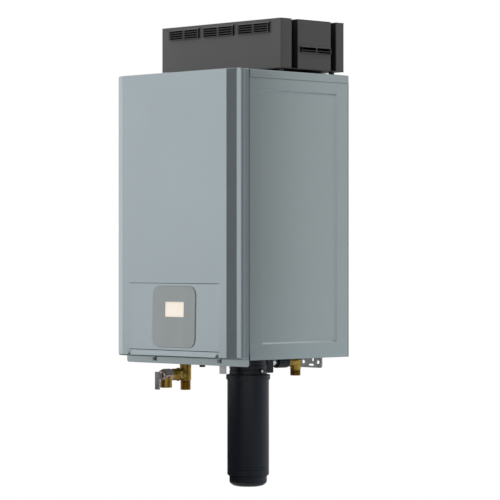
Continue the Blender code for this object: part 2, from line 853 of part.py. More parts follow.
def standing(plan, levels):
    """Grid rows: a plan path repeated at each level."""
    return [[(x, y, level) for x, y in plan] for level in levels]


def mirror_x(bm):
    """The bmesh seen in a mirror, left for right."""
    bmesh.ops.scale(bm, vec=(-1, 1, 1), verts=bm.verts[:])
    bmesh.ops.reverse_faces(bm, faces=bm.faces[:])
    return bm


def tray(low, high, edge_r):
    """The skin of a tray lying upside down, with its edges and corners rounded."""
    bm = block(low, high)
    under = [face for face in bm.faces if face.normal.z < -0.5]
    bmesh.ops.delete(bm, geom=under, context="FACES")
    kept = [edge for edge in bm.edges if not edge.is_boundary]
    bmesh.ops.bevel(bm, geom=kept, offset=edge_r, segments=2, profile=0.5, affect="EDGES")
    return bm


def press(bm, face, slope, depth):
    """A face pressed in or out, with sloped sides."""
    bmesh.ops.inset_individual(bm, faces=[face], thickness=slope, depth=depth, use_even_offset=True)


def build_side(name, side):
    """A side of the cabinet, folded in at the front and the back, with a pressed field."""
    notch = CASE_FRONT + LID_EDGE_R + SEAT
    plan = [
        (HALF_W - FLANGE, CASE_FRONT),
        *arc((HALF_W - SIDE_BEND_R, CASE_FRONT + SIDE_BEND_R), SIDE_BEND_R, -90, 0, 2),
        (HALF_W, notch),
        (HALF_W, CASE_FRONT + FIELD_FRONT_MARGIN),
        (HALF_W, CASE_BACK - FIELD_REAR_MARGIN),
        *arc((HALF_W - SIDE_BEND_R, PANEL_BACK - SIDE_BEND_R), SIDE_BEND_R, 0, 90, 2),
        (HALF_W - FLANGE, PANEL_BACK),
    ]
    levels = [
        CASE_BASE,
        PAN_FLOOR + SEAT,
        CASE_BASE + FIELD_BASE_MARGIN,
        CASE_TOP - FIELD_TOP_MARGIN,
        CASE_TOP - LID_SKIRT - SEAT,
        PANEL_TOP,
    ]
    behind_lid = [(len(levels) - 2, column) for column in range(4)]
    before_pan = [(0, column) for column in range(3)]
    bm = sheet(standing(plan, levels), holes=[*before_pan, *behind_lid])
    press(bm, max(bm.faces, key=lambda face: face.calc_area()), FIELD_SLOPE, -FIELD_DEPTH)
    put_sheet(name, bm if side > 0 else mirror_x(bm), "case_paint")


def build_back():
    """The flat back of the cabinet, stiffened by two pressed beads."""
    plan = [(HALF_W, CASE_BACK), (BEAD_W / 2, CASE_BACK), (-BEAD_W / 2, CASE_BACK), (-HALF_W, CASE_BACK)]
    levels = [CASE_BASE]
    for height in BEAD_HEIGHTS:
        levels += [CASE_BASE + height - BEAD_H / 2, CASE_BASE + height + BEAD_H / 2]
    levels.append(CASE_TOP - LID_SKIRT - SEAT)
    bm = sheet(standing(plan, levels))
    columns = len(plan) - 1
    bm.faces.ensure_lookup_table()
    beads = [bm.faces[row * columns + 1] for row in (1, 3)]
    for bead in beads:
        press(bm, bead, BEAD_OUT, BEAD_OUT)
    put_sheet("case_back", bm, "case_paint")


def build_lid():
    """The cabinet's lid: a tray turned down over the sides, with the flue's hole."""
    low = (-LID_HALF, CASE_FRONT, CASE_TOP - LID_SKIRT)
    lid = put_sheet("top_lid", tray(low, (LID_HALF, CASE_BACK, CASE_TOP), LID_EDGE_R), "case_paint")
    cut(lid, upright(STACK_X, FLUE_Y, CASE_TOP - SHEET, CASE_TOP, FLUE_R + SEAT, ROUND_SIDES))


def upright(x, y, low, high, radius, sides=SMALL_SIDES):
    """A standing cutter that runs past both levels."""
    return rod((x, y, low - OVERRUN), (x, y, high + OVERRUN), radius, sides)


def build_pan():
    """The cabinet's floor, with a front lip that hangs below the cover."""
    low = (-INNER_W, CASE_FRONT, PAN_FLOOR - PAN_SKIRT)
    bm = tray(low, (INNER_W, PAN_BACK, PAN_FLOOR), SHEET)
    rims = [edge for edge in bm.edges if edge.is_boundary]
    front = min(rims, key=lambda edge: sum(vert.co.y for vert in edge.verts) - edge.calc_length())
    pushed = bmesh.ops.extrude_edge_only(bm, edges=[front])["geom"]
    corners = [part for part in pushed if isinstance(part, bmesh.types.BMVert)]
    drop = CASE_BASE - LIP_DROP - low[2]
    bmesh.ops.translate(bm, vec=(0, 0, drop), verts=corners)
    bmesh.ops.bevel(bm, geom=corners, offset=LIP_CORNER_R, segments=3, profile=0.5, affect="VERTICES")
    bmesh.ops.recalc_face_normals(bm, faces=bm.faces[:])
    pan = put_sheet("bottom_pan", bm, "case_paint")
    passages = [
        (CARTRIDGE_X, CARTRIDGE_Y, BOSS_R),
        (TEE_X, TEE_Y, TEE_BODY_R),
        (GAS_X, GAS_Y, NIPPLE_R),
        (DRAIN_X, DRAIN_Y, DRAIN_R),
        (GLAND_X, GLAND_Y, GLAND_R),
    ]
    holes = [upright(x, y, PAN_UNDER, PAN_FLOOR, around(radius), ROUND_SIDES) for x, y, radius in passages]
    cut(pan, merged(*holes))
    screw_z = CASE_BASE - SCREW_DROP
    sides = [through_y(side * SCREW_X, screw_z, CASE_FRONT, CASE_FRONT + SHEET) for side in (-1, 1)]
    cut(pan, merged(*sides))


def through_y(x, z, low, high, radius=SCREW_SHANK_R + SEAT):
    """A level cutter along Y that runs past both places."""
    return rod((x, low - OVERRUN, z), (x, high + OVERRUN, z), radius, ROUND_SIDES)


def cover_plan():
    """Points across the cover, each with the way in which its edge is drawn in and its crease share."""
    bevel = math.atan2(COVER_BEVEL_RISE, COVER_BEVEL_RUN)
    corner_x = HALF_W - COVER_CORNER_R
    corner_y = COVER_FRONT + COVER_BEVEL_RISE + COVER_CORNER_R * math.cos(bevel)
    flat_end = HALF_W - COVER_BEVEL_RUN - COVER_CORNER_R * (1 - math.sin(bevel))
    first = math.degrees(bevel) - 90
    steps = 4
    right = [(CREASE_HALF * x_share, COVER_FRONT, 0, -1, share) for x_share, share in reversed(CREASE_SHARES)]
    right.append((flat_end, COVER_FRONT, 0, -1, 0))
    for step in range(steps + 1):
        angle = math.radians(first * (1 - step / steps))
        x = corner_x + COVER_CORNER_R * math.cos(angle)
        y = corner_y + COVER_CORNER_R * math.sin(angle)
        right.append((x, y, math.cos(angle), math.sin(angle), 0))
    right.append((HALF_W, COVER_BACK, 1, 0, 0))
    right.append((HALF_W - FLANGE, COVER_BACK, 0, 0, 0))
    left = [(-x, y, -across, along, share) for x, y, across, along, share in reversed(right)]
    return left + right


def build_cover():
    """The front cover: bevelled sides, round top and bottom edges, and two creases that fade out."""
    steps = 2
    edge = [math.radians(90 * step / steps) for step in range(steps + 1)]
    rows = []
    for angle in reversed(edge):
        level = COVER_BASE + COVER_EDGE_R * (1 - math.sin(angle))
        rows.append((level, COVER_EDGE_R * (1 - math.cos(angle)), 0))
    for level in (ZONE_LOW, ZONE_HIGH):
        rows += [(level - CREASE_BAND, 0, 1), (level, 0, 0)]
    for angle in edge:
        level = COVER_TOP - COVER_EDGE_R * (1 - math.sin(angle))
        rows.append((level, COVER_EDGE_R * (1 - math.cos(angle)), 0))
    grid = []
    for level, inset, creased in rows:
        row = []
        for x, y, across, along, share in cover_plan():
            row.append((x - across * inset, y - along * inset + CREASE_STEP * share * creased, level))
        grid.append(row)
    last = len(grid) - 2
    ends = [row for step in range(steps) for row in (step, last - step)]
    holes = [(row, column) for row in ends for column in (0, len(grid[0]) - 2)]
    cover = put_sheet("front_cover", sheet(grid, holes, ends=(0, -1)), "cover_paint")
    cut(cover, bezel_prism(BEZEL_GAP, COVER_FRONT - OVERRUN, COVER_FRONT + CREASE_STEP + OVERRUN))
    screw_z = CASE_BASE - SCREW_DROP
    for side in (-1, 1):
        x = side * SCREW_X
        low = (x - TAB_W / 2, TAB_FRONT, COVER_BASE - COVER_TAB_DROP)
        join(cover, block(low, (x + TAB_W / 2, TAB_FRONT + SHEET, COVER_BASE + SHEET / 2)))
        cut(cover, through_y(x, screw_z, TAB_FRONT, COVER_BACK))


def build_gasket():
    """The foam frame in the seam between the cover and the cabinet."""
    outer = HALF_W - GASKET_SET_IN
    inner = outer - GASKET_W
    top = CASE_TOP - GASKET_SET_IN
    base = COVER_BASE + GASKET_SET_IN
    front = COVER_BACK + SEAT
    back = CASE_FRONT - SEAT
    gasket = put("cover_gasket", block((-outer, front, base), (outer, back, top)), "foam")
    low = (-inner, front - OVERRUN, base + GASKET_W)
    cut(gasket, block(low, (inner, back + OVERRUN, top - GASKET_W)))


def build_cover_screw(name, side):
    """A cover screw: a round head with a slot, and its shank through the tab and the lip."""
    head_z = CASE_BASE - SCREW_DROP
    head_y = TAB_FRONT - SEAT
    profile = [
        (0, -SCREW_SHANK),
        (SCREW_SHANK_R, -SCREW_SHANK),
        (SCREW_SHANK_R, 0),
        (SCREW_R, 0),
        (SCREW_R, SCREW_HEAD / 2),
        (SCREW_R * SCREW_CROWN_SHARE, SCREW_HEAD),
        (0, SCREW_HEAD),
    ]
    x = side * SCREW_X
    screw = put(name, turned(profile, (x, head_y, head_z), (0, -1, 0), SMALL_SIDES), "steel")
    low = (x - SCREW_R, head_y - SCREW_HEAD - OVERRUN, head_z - SCREW_SLOT / 2)
    cut(screw, block(low, (x + SCREW_R, head_y - SCREW_HEAD + SCREW_SLOT, head_z + SCREW_SLOT / 2)))


def lean(bm):
    """The bmesh leant back as the cover's lower zone is between its two creases."""
    for vert in bm.verts:
        vert.co.y += CREASE_STEP * (vert.co.z - ZONE_LOW) / (ZONE_HIGH - ZONE_LOW)
    return bm


def bezel_outline(grow):
    """The control panel's outline, grown on every side."""
    half = BEZEL_W / 2 + grow
    low = CASE_BASE + BEZEL_BASE - grow
    high = low + BEZEL_H + 2 * grow
    return round_rectangle((BEZEL_X - half, low), (BEZEL_X + half, high), BEZEL_CORNER_R + grow)


def bezel_prism(grow, front, back):
    """The control panel's outline pushed from front to back."""
    return prism(bezel_outline(grow), "XZ", front, back)


def display_block(grow, front, back):
    """A box over the display's window, grown on every side."""
    low_z = CASE_BASE + DISPLAY_BASE
    half = DISPLAY_W / 2 + grow
    low = (DISPLAY_X - half, front, low_z - grow)
    return block(low, (DISPLAY_X + half, back, low_z + DISPLAY_H + grow))


def build_bezel():
    """The control panel's surround: a shell through the cover, with a flange behind it."""
    face = COVER_FRONT - BEZEL_PROUD
    back = face + BEZEL_BODY
    flange = COVER_FRONT + SHEET + SEAT
    bezel = put("control_bezel", lean(bezel_prism(0, face, back)), "bezel_plastic")
    join(bezel, lean(bezel_prism(BEZEL_FLANGE, flange, flange + BEZEL_FLANGE_T)))
    cut(bezel, lean(bezel_prism(-BEZEL_WALL, face + BEZEL_WALL, back + OVERRUN)))
    cut(bezel, lean(display_block(0, face - OVERRUN, face + BEZEL_WALL + OVERRUN)))


def build_display():
    """The display's window behind the bezel's face, and the board that carries its module."""
    face = COVER_FRONT - BEZEL_PROUD + BEZEL_WALL + SEAT
    glass = lean(display_block(DISPLAY_LEDGE, face, face + DISPLAY_T))
    put("display_window", glass, "display_glass")
    module = face + DISPLAY_T + SEAT
    board_y = COVER_FRONT - BEZEL_PROUD + BEZEL_BODY - BOARD_T - SEAT
    grow = -(BEZEL_WALL + SEAT)
    board = put("display_board", lean(bezel_prism(grow, board_y, board_y + BOARD_T)), "board_green")
    join(board, lean(display_block(DISPLAY_LEDGE - MODULE_MARGIN, module, board_y + BOARD_T / 2)))


def bracket(name, profile, levels, holes):
    """A folded wall bracket: its side profile pushed across, its corners rounded and its holes cut."""
    half = BRACKET_W / 2
    piece = put(name, prism(profile, "YZ", -half, half), "bracket_zinc")
    low = (-half, min(levels))
    outline = round_rectangle(low, (half, max(levels)), BRACKET_CORNER_R)
    boolean(piece, "INTERSECT", [prism(outline, "XZ", -STANDOFF - OVERRUN, OVERRUN)])
    cut(piece, merged(*holes))


def bracket_profile(top, bottom, joggle, attach):
    """Side profile: a flange on the wall, a joggle, and a flange on the cabinet's back."""
    near = -(STANDOFF - SEAT)
    far = near + BRACKET_T
    return [
        (0, top),
        (0, bottom),
        (far, joggle),
        (far, attach),
        (near, attach),
        (near, joggle),
        (-BRACKET_T, bottom),
        (-BRACKET_T, top),
    ]


def bracket_slot(x, z, width, height):
    """A cutter for a slot with round corners through a bracket."""
    low = (x - width / 2, z - height / 2)
    outline = round_rectangle(low, (x + width / 2, z + height / 2), SLOT_CORNER_R, 1)
    return prism(outline, "XZ", -STANDOFF - OVERRUN, OVERRUN)


def build_brackets():
    """The two brackets that hold the cabinet off the wall."""
    top, bottom = UPPER_FLANGE_UP, -UPPER_FLANGE_DOWN
    joggle = bottom - BRACKET_JOGGLE
    attach = joggle - UPPER_ATTACH
    signs = (-1, 1)
    holes = [through_y(s * x, 0, -BRACKET_T, 0, BRACKET_HOLE_R) for s in signs for x in BRACKET_HOLE_XS]
    bracket("wall_bracket_upper", bracket_profile(top, bottom, joggle, attach), (top, attach), holes)
    bottom = CASE_BASE - LOWER_FLANGE_DROP
    top = CASE_BASE - LOWER_FLANGE_TOP
    joggle = top + BRACKET_JOGGLE
    attach = joggle + LOWER_ATTACH
    level = CASE_BASE - LOWER_HOLE_DROP
    holes = [through_y(s * x, level, -BRACKET_T, 0, BRACKET_HOLE_R) for s in signs for x in BRACKET_HOLE_XS]
    for s in signs:
        holes.append(bracket_slot(s * TALL_SLOT_X, CASE_BASE - TALL_SLOT_DROP, TALL_SLOT_W, TALL_SLOT_H))
        holes.append(bracket_slot(s * WIDE_SLOT_X, CASE_BASE - WIDE_SLOT_DROP, WIDE_SLOT_W, WIDE_SLOT_H))
    bracket("wall_bracket_lower", bracket_profile(bottom, top, joggle, attach), (bottom, attach), holes)


def across_marks(start, end, end_w, mid_w):
    """Marks across a raised box: place, raised or not, slot after it or not."""
    middle = (start + end) / 2
    return [
        (start, False, False),
        (start, True, False),
        (start + end_w, True, True),
        (middle - mid_w / 2, True, False),
        (middle + mid_w / 2, True, True),
        (end - end_w, True, False),
        (end, True, False),
        (end, False, False),
    ]


def upward_marks(low, high, slots, rib):
    """Marks up a raised box: its slots from the top down, under a sloped top."""
    marks = [(high, False, False), (high - LOUVRE_SLOPE, True, False)]
    level = high - LOUVRE_SLOPE - LOUVRE_LIP
    for slot in slots:
        marks += [(level, True, False), (level - slot, True, True)]
        level -= slot + rib
    marks += [(low, True, False), (low, False, False)]
    return list(reversed(marks))


def louvred(columns, rows, normal):
    """The skin of a sheet whose marked boxes stand out of it, slotted and open at both ends."""
    grid = []
    for level, raised, _slot in rows:
        row = []
        for (x, y), boxed, _opened in columns:
            out = LOUVRE_RAISE if raised and boxed else 0
            row.append((x + normal[0] * out, y + normal[1] * out, level))
        grid.append(row)
    holes = set()
    for r, (below, above) in enumerate(zip(rows, rows[1:])):
        for c, (left, right) in enumerate(zip(columns, columns[1:])):
            open_end = left[1] != right[1] and (below[1] or above[1])
            if open_end or (left[2] and below[2]):
                holes.add((r, c))
    return sheet(grid, holes)


def plain(points):
    """Plan points that carry no louvre."""
    return [(point, False, False) for point in points]


def build_hood_front():
    """The hood's front, wrapped around both corners, with three louvre boxes under its top edge."""
    back = STRIP_END - BEND_R
    front = HOOD_FRONT + BEND_R
    left, right = -HOOD_HALF + BEND_R, HOOD_HALF - BEND_R
    columns = plain([(-CORE_EDGE, STRIP_END)])
    columns += plain(arc((left, back), BEND_R, 90, 180, 2))
    columns += plain(arc((left, front), BEND_R, 180, 270, 2))
    for group in (-1, 0, 1):
        middle = FRONT_LOUVRE_X + group * FRONT_LOUVRE_PITCH
        start, end = middle - FRONT_LOUVRE_W / 2, middle + FRONT_LOUVRE_W / 2
        for x, boxed, opened in across_marks(start, end, FRONT_LOUVRE_END, FRONT_LOUVRE_MID):
            columns.append(((x, HOOD_FRONT), boxed, opened))
    columns += plain(arc((right, front), BEND_R, -90, 0, 2))
    columns += plain(arc((right, back), BEND_R, 0, 90, 2))
    columns += plain([(CORE_EDGE, STRIP_END)])
    low = HOOD_BASE + FRONT_LOUVRE_LOW
    rows = upward_marks(low, low + FRONT_LOUVRE_H, FRONT_LOUVRE_SLOTS, FRONT_LOUVRE_RIB)
    rows = [(HOOD_LOW, False, False), *rows, (HOOD_HIGH, False, False)]
    put_sheet("hood_front", louvred(columns, rows, (0, -1)), "hood_paint")


def build_hood_back():
    """The hood's back, wrapped around both rear corners."""
    front = REAR_START + BEND_R
    back = HOOD_BACK - BEND_R
    left, right = -HOOD_HALF + BEND_R, HOOD_HALF - BEND_R
    plan = [
        (CORE_EDGE, REAR_START),
        *arc((right, front), BEND_R, -90, 0, 2),
        *arc((right, back), BEND_R, 0, 90, 2),
        *arc((left, back), BEND_R, 90, 180, 2),
        *arc((left, front), BEND_R, 180, 270, 2),
        (-CORE_EDGE, REAR_START),
    ]
    put_sheet("hood_back", sheet(standing(plan, [HOOD_LOW, HOOD_HIGH])), "hood_paint")


def build_deflector(name, side):
    """A side plate between the hood's two channels, with one raised louvre box."""
    marks = across_marks(LOUVRE_START, LOUVRE_END, SIDE_LOUVRE_END, SIDE_LOUVRE_MID)
    columns = plain([(CORE_EDGE, DEFLECTOR_START), (HOOD_HALF, DEFLECTOR_START)])
    columns += [((HOOD_HALF, y), boxed, opened) for y, boxed, opened in marks]
    columns += plain([(HOOD_HALF, DEFLECTOR_END), (CORE_EDGE, DEFLECTOR_END)])
    low = HOOD_BASE + SIDE_LOUVRE_LOW
    rows = upward_marks(low, low + SIDE_LOUVRE_H, SIDE_LOUVRE_SLOTS, SIDE_LOUVRE_RIB)
    rows = [(HOOD_LOW, False, False), *rows, (HOOD_HIGH, False, False)]
    bm = louvred(columns, rows, (1, 0))
    put_sheet(name, bm if side > 0 else mirror_x(bm), "hood_paint")


def hood_outline():
    """The hood's roof in plan, notched over its four channels."""
    right = [
        (HOOD_HALF, HOOD_FRONT),
        (HOOD_HALF, STRIP_END),
        (CORE_EDGE, STRIP_END),
        (CORE_EDGE, DEFLECTOR_START),
        (HOOD_HALF, DEFLECTOR_START),
        (HOOD_HALF, DEFLECTOR_END),
        (CORE_EDGE, DEFLECTOR_END),
        (CORE_EDGE, REAR_START),
        (HOOD_HALF, REAR_START),
        (HOOD_HALF, HOOD_BACK),
    ]
    return right + [(-x, y) for x, y in reversed(right)]


def build_hood_inside():
    """The hood's roof, its base on four feet, and the windowed core between them."""
    put("hood_roof", prism(hood_outline(), "XY", HOOD_TOP - SHEET, HOOD_TOP), "hood_paint")
    low = (-HOOD_HALF, HOOD_FRONT, HOOD_BASE)
    base = put("hood_base", block(low, (HOOD_HALF, HOOD_BACK, HOOD_BASE + SHEET)), "hood_paint")
    foot_x = HOOD_HALF - HOOD_FOOT_INSET
    foot_ys = (HOOD_FRONT + HOOD_FOOT_INSET, HOOD_BACK - HOOD_FOOT_INSET)
    feet = []
    for x in (-foot_x, foot_x):
        for y in foot_ys:
            feet.append(rod((x, y, CASE_TOP + SEAT), (x, y, HOOD_BASE + SHEET / 2), HOOD_FOOT_R))
    join(base, merged(*feet))
    cut(base, upright(STACK_X, FLUE_Y, HOOD_BASE, HOOD_BASE + SHEET, FLUE_R + SEAT, ROUND_SIDES))
    front, back = CORE_FRONT, REAR_START + HOOD_CORE_LAP
    core = put("hood_core", block((-CORE_HALF, front, HOOD_LOW), (CORE_HALF, back, HOOD_HIGH)), "hood_paint")
    inner = CORE_HALF - SHEET
    low = (-inner, front + SHEET, HOOD_LOW - OVERRUN)
    cut(core, block(low, (inner, back - SHEET, HOOD_HIGH + OVERRUN)))
    sill = HOOD_BASE + CORE_WINDOW_BASE
    windows = []
    for place in (-1, 1):
        middle = (LOUVRE_START + LOUVRE_END + place * CORE_WINDOW_PITCH) / 2
        low = (-CORE_HALF - OVERRUN, middle - CORE_WINDOW_W / 2, sill)
        windows.append(block(low, (CORE_HALF + OVERRUN, middle + CORE_WINDOW_W / 2, sill + CORE_WINDOW_H)))
    cut(core, merged(*windows))
    windows = []
    for group in (-1, 0, 1):
        middle = FRONT_LOUVRE_X + group * FRONT_LOUVRE_PITCH
        low = (middle - CORE_FRONT_WINDOW_W / 2, front - OVERRUN, sill)
        high = (middle + CORE_FRONT_WINDOW_W / 2, front + OVERRUN, sill + CORE_WINDOW_H)
        windows.append(block(low, high))
    cut(core, merged(*windows))


def build_flue():
    """The flue pipe from the secondary heat exchanger up into the hood."""
    inner = FLUE_R - FLUE_WALL
    base = SECONDARY_CEILING + SEAT
    height = HOOD_BASE + FLUE_RISE - base
    profile = [
        (inner, 0),
        (FLUE_FLANGE_R, 0),
        (FLUE_FLANGE_R, FLUE_FLANGE_T),
        (FLUE_R, FLUE_FLANGE_T),
        (FLUE_R, height),
        (inner, height),
    ]
    put("flue_pipe", turned(profile, (STACK_X, FLUE_Y, base)), "stainless")


def ears(level):
    """Two straps from the stack's rear to the cabinet's back."""
    straps = []
    wall = PANEL_BACK - SEAT
    for side in (-1, 1):
        x = STACK_X + side * STACK_W * EAR_SHARE
        left, right = x - EAR_W / 2, x + EAR_W / 2
        outline = [
            (STACK_REAR - EAR_T, level),
            (wall - EAR_T, level),
            (wall - EAR_T, level - EAR_H),
            (wall, level - EAR_H),
            (wall, level + EAR_T),
            (STACK_REAR - EAR_T, level + EAR_T),
        ]
        straps.append(prism(outline, "YZ", left, right))
    return straps


def build_secondary():
    """The secondary heat exchanger: a ribbed box with water ports, a flue socket and a drain boss."""
    low = (STACK_LEFT, STACK_FRONT, SECONDARY_FLOOR)
    high = (STACK_RIGHT, STACK_REAR, SECONDARY_CEILING)
    box = put("secondary_heat_exchanger", block(low, high, STACK_EDGE_R), "stainless")
    pitch = STACK_W / (SECONDARY_RIBS + 1)
    bars = []
    for number in range(SECONDARY_RIBS):
        x = STACK_LEFT + pitch * (number + 1)
        left, right = x - SECONDARY_RIB_W / 2, x + SECONDARY_RIB_W / 2
        rib_low = (left, STACK_FRONT - SECONDARY_RIB, SECONDARY_FLOOR + SECONDARY_RIB_RISE)
        rib_high = (right, STACK_FRONT + SECONDARY_RIB, SECONDARY_CEILING - SECONDARY_RIB_MARGIN)
        bars.append(block(rib_low, rib_high))
    join(box, merged(*bars))
    right = rod(
        (STACK_RIGHT - STACK_LAP, STACK_Y, SECONDARY_PORT_Z),
        (STACK_RIGHT + SECONDARY_PORT_OUT, STACK_Y, SECONDARY_PORT_Z),
        SECONDARY_PORT_R,
    )
    left = rod(
        (STACK_LEFT + STACK_LAP, LINK_Y, SECONDARY_PORT_Z),
        (STACK_LEFT - SECONDARY_PORT_OUT, LINK_Y, SECONDARY_PORT_Z),
        SECONDARY_PORT_R,
    )
    drain_z = SECONDARY_FLOOR + DRAIN_BOSS_RISE
    drain = rod(
        (DRAIN_X, STACK_FRONT + STACK_LAP, drain_z),
        (DRAIN_X, STACK_FRONT - SECONDARY_PORT_OUT, drain_z),
        HOSE_R + SECONDARY_RIB,
    )
    join(box, merged(left, right, drain))
    join(box, merged(*ears(SECONDARY_CEILING - SECONDARY_H / 2)))
    socket = SECONDARY_CEILING - FLUE_SOCKET_DEPTH
    bore = FLUE_R - FLUE_WALL
    cut(box, upright(STACK_X, FLUE_Y, socket + OVERRUN, SECONDARY_CEILING, bore, ROUND_SIDES))


def build_primary():
    """The primary heat exchanger: an open shell, its fins, and one tube that winds through them all."""
    low = (STACK_LEFT, STACK_FRONT, PRIMARY_FLOOR)
    high = (STACK_RIGHT, STACK_REAR, PRIMARY_CEILING)
    shell = put("primary_heat_exchanger", block(low, high), "copper")
    inner_low = (STACK_LEFT + PRIMARY_WALL, STACK_FRONT + PRIMARY_WALL, PRIMARY_FLOOR - OVERRUN)
    inner_high = (STACK_RIGHT - PRIMARY_WALL, STACK_REAR - PRIMARY_WALL, PRIMARY_CEILING + OVERRUN)
    cut(shell, block(inner_low, inner_high))
    pitch = (STACK_W - 2 * PRIMARY_WALL) / (FIN_COUNT + 1)
    plates = []
    for number in range(FIN_COUNT):
        x = STACK_LEFT + PRIMARY_WALL + pitch * (number + 1)
        fin_low = (x - FIN_T / 2, STACK_FRONT + PRIMARY_WALL + FIN_GAP, PRIMARY_FLOOR + FIN_MARGIN)
        fin_high = (x + FIN_T / 2, STACK_REAR - PRIMARY_WALL - FIN_GAP, PRIMARY_CEILING - FIN_MARGIN)
        plates.append(block(fin_low, fin_high))
    join(shell, winding_tube())
    join(shell, merged(*plates))


def winding_tube():
    """The tube's path: along each row and column in turn, with round ends outside the shell."""
    near, middle, far = STACK_Y + TUBE_COLUMN_PITCH, STACK_Y, STACK_Y - TUBE_COLUMN_PITCH
    right = STACK_RIGHT + TUBE_BEND_OUT
    left = STACK_LEFT - TUBE_BEND_OUT
    stub = STACK_LEFT - TUBE_STUB
    short, wide = TUBE_ROW_PITCH / 2, TUBE_COLUMN_PITCH / 2
    path = [(stub, near, TUBE_HIGH)]
    columns = ((near, TUBE_HIGH, TUBE_LOW), (middle, TUBE_LOW, TUBE_HIGH), (far, TUBE_HIGH, TUBE_LOW))
    for y, first, second in columns:
        centre = (first + second) / 2
        sign = 1 if first > second else -1
        path.append((right, y, first))
        for x, z in arc((right, centre), short, 90 * sign, -90 * sign, 4)[1:-1]:
            path.append((x, y, z))
        path.append((right, y, second))
        if y != far:
            path.append((left, y, second))
            for x, turn_y in arc((left, y - wide), wide, 90, 270, 4)[1:-1]:
                path.append((x, turn_y, second))
            path.append((left, y - TUBE_COLUMN_PITCH, second))
    path.append((stub, far, TUBE_LOW))
    return pipe(path, TUBE_R)


def build_burner():
    """The burner box under the primary heat exchanger, and the slotted burner inside it."""
    low = (STACK_LEFT, STACK_FRONT, BURNER_FLOOR)
    high = (STACK_RIGHT, STACK_REAR, BURNER_TOP)
    box = put("burner_box", block(low, high), "zinc")
    left, right = STACK_LEFT + BURNER_WALL, STACK_RIGHT - BURNER_WALL
    front, back = STACK_FRONT + BURNER_WALL, STACK_REAR - BURNER_WALL
    cut(box, block((left, front, BURNER_FLOOR + BURNER_WALL), (right, back, BURNER_TOP + OVERRUN)))
    duct_low = (DUCT_LEFT + BLOWER_WALL, BLOWER_FRONT + BLOWER_WALL, BURNER_FLOOR - OVERRUN)
    duct_high = (DUCT_RIGHT - BLOWER_WALL, BLOWER_BACK - BLOWER_WALL, BURNER_FLOOR + BURNER_WALL + OVERRUN)
    cut(box, block(duct_low, duct_high))
    holes = []
    for side in (-1, 1):
        x = STACK_X + side * STACK_W * ROD_SHARE
        holes.append(through_y(x, ROD_Z, STACK_FRONT, STACK_FRONT + BURNER_WALL, around(CERAMIC_R)))
    cut(box, merged(*holes))
    join(box, merged(*ears(BURNER_FLOOR + BURNER_BOX_H / 2)))
    left, right, front, back = left + SEAT, right - SEAT, front + SEAT, back - SEAT
    plate_top = BURNER_PLATE + BURNER_PLATE_T
    burner = put("burner", block((left, front, BURNER_PLATE), (right, back, plate_top)), "stainless")
    pitch = (right - left) / BURNER_BARS
    bars, slots = [], []
    for number in range(BURNER_BARS):
        x = left + pitch * (number + 0.5)
        bar_front, bar_back = front + BURNER_SLOT_MARGIN, back - BURNER_SLOT_MARGIN
        bar_low = (x - BURNER_BAR_W / 2, bar_front, BURNER_PLATE + BURNER_PLATE_T / 2)
        bars.append(block(bar_low, (x + BURNER_BAR_W / 2, bar_back, plate_top + BURNER_BAR_H)))
        slot_low = (x - BURNER_SLOT / 2, bar_front + BURNER_SLOT_MARGIN, BURNER_PLATE - OVERRUN)
        slot_high = (x + BURNER_SLOT / 2, bar_back - BURNER_SLOT_MARGIN, plate_top + BURNER_BAR_H + OVERRUN)
        slots.append(block(slot_low, slot_high))
    join(burner, merged(*bars))
    cut(burner, merged(*slots))


def build_electrode(name, side, reach, finish):
    """A rod in a ceramic sleeve through the burner box's front, held by a small flange."""
    x = STACK_X + side * STACK_W * ROD_SHARE
    profile = [
        (0, -CERAMIC_IN - reach),
        (ROD_R, -CERAMIC_IN - reach),
        (ROD_R, -CERAMIC_IN),
        (CERAMIC_R, -CERAMIC_IN),
        (CERAMIC_R, CERAMIC_OUT),
        (ROD_R, CERAMIC_OUT),
        (ROD_R, CERAMIC_OUT + CERAMIC_R),
        (0, CERAMIC_OUT + CERAMIC_R),
    ]
    piece = put(name, turned(profile, (x, STACK_FRONT, ROD_Z), (0, -1, 0), SMALL_SIDES), finish)
    low = (x - ROD_FLANGE_W, STACK_FRONT - SEAT - ROD_FLANGE_T, ROD_Z - CERAMIC_R - SHEET)
    join(piece, block(low, (x + ROD_FLANGE_W, STACK_FRONT - SEAT, ROD_Z + CERAMIC_R + SHEET)))


def scroll_outline(inset):
    """The blower's spiral, open upwards into its outlet, drawn in by a wall."""
    radius = SCROLL_START_R - inset
    first = math.acos((SCROLL_TONGUE + inset) / radius)
    outline = []
    for step in range(SCROLL_STEPS + 1):
        share = step / SCROLL_STEPS
        angle = first + (math.tau - first) * share
        reach = radius + SCROLL_GROWTH * share
        outline.append((BLOWER_X + reach * math.cos(angle), BLOWER_Z + reach * math.sin(angle)))
    top = DUCT_TOP + (OVERRUN if inset else 0)
    return outline + [(DUCT_RIGHT - inset, top), (DUCT_LEFT + inset, top)]


def build_blower_housing():
    """The blower's hollow scroll, with its inlet in front and its outlet on top."""
    housing = put("blower_housing", prism(scroll_outline(0), "XZ", BLOWER_FRONT, BLOWER_BACK), "cast_alloy")
    front, back = BLOWER_FRONT + BLOWER_WALL, BLOWER_BACK - BLOWER_WALL
    cut(housing, prism(scroll_outline(BLOWER_WALL), "XZ", front, back))
    inlet = through_y(BLOWER_X, BLOWER_Z, BLOWER_FRONT, front, INLET_R)
    shaft = through_y(BLOWER_X, BLOWER_Z, back, BLOWER_BACK, SHAFT_HOLE_R)
    cut(housing, merged(inlet, shaft))


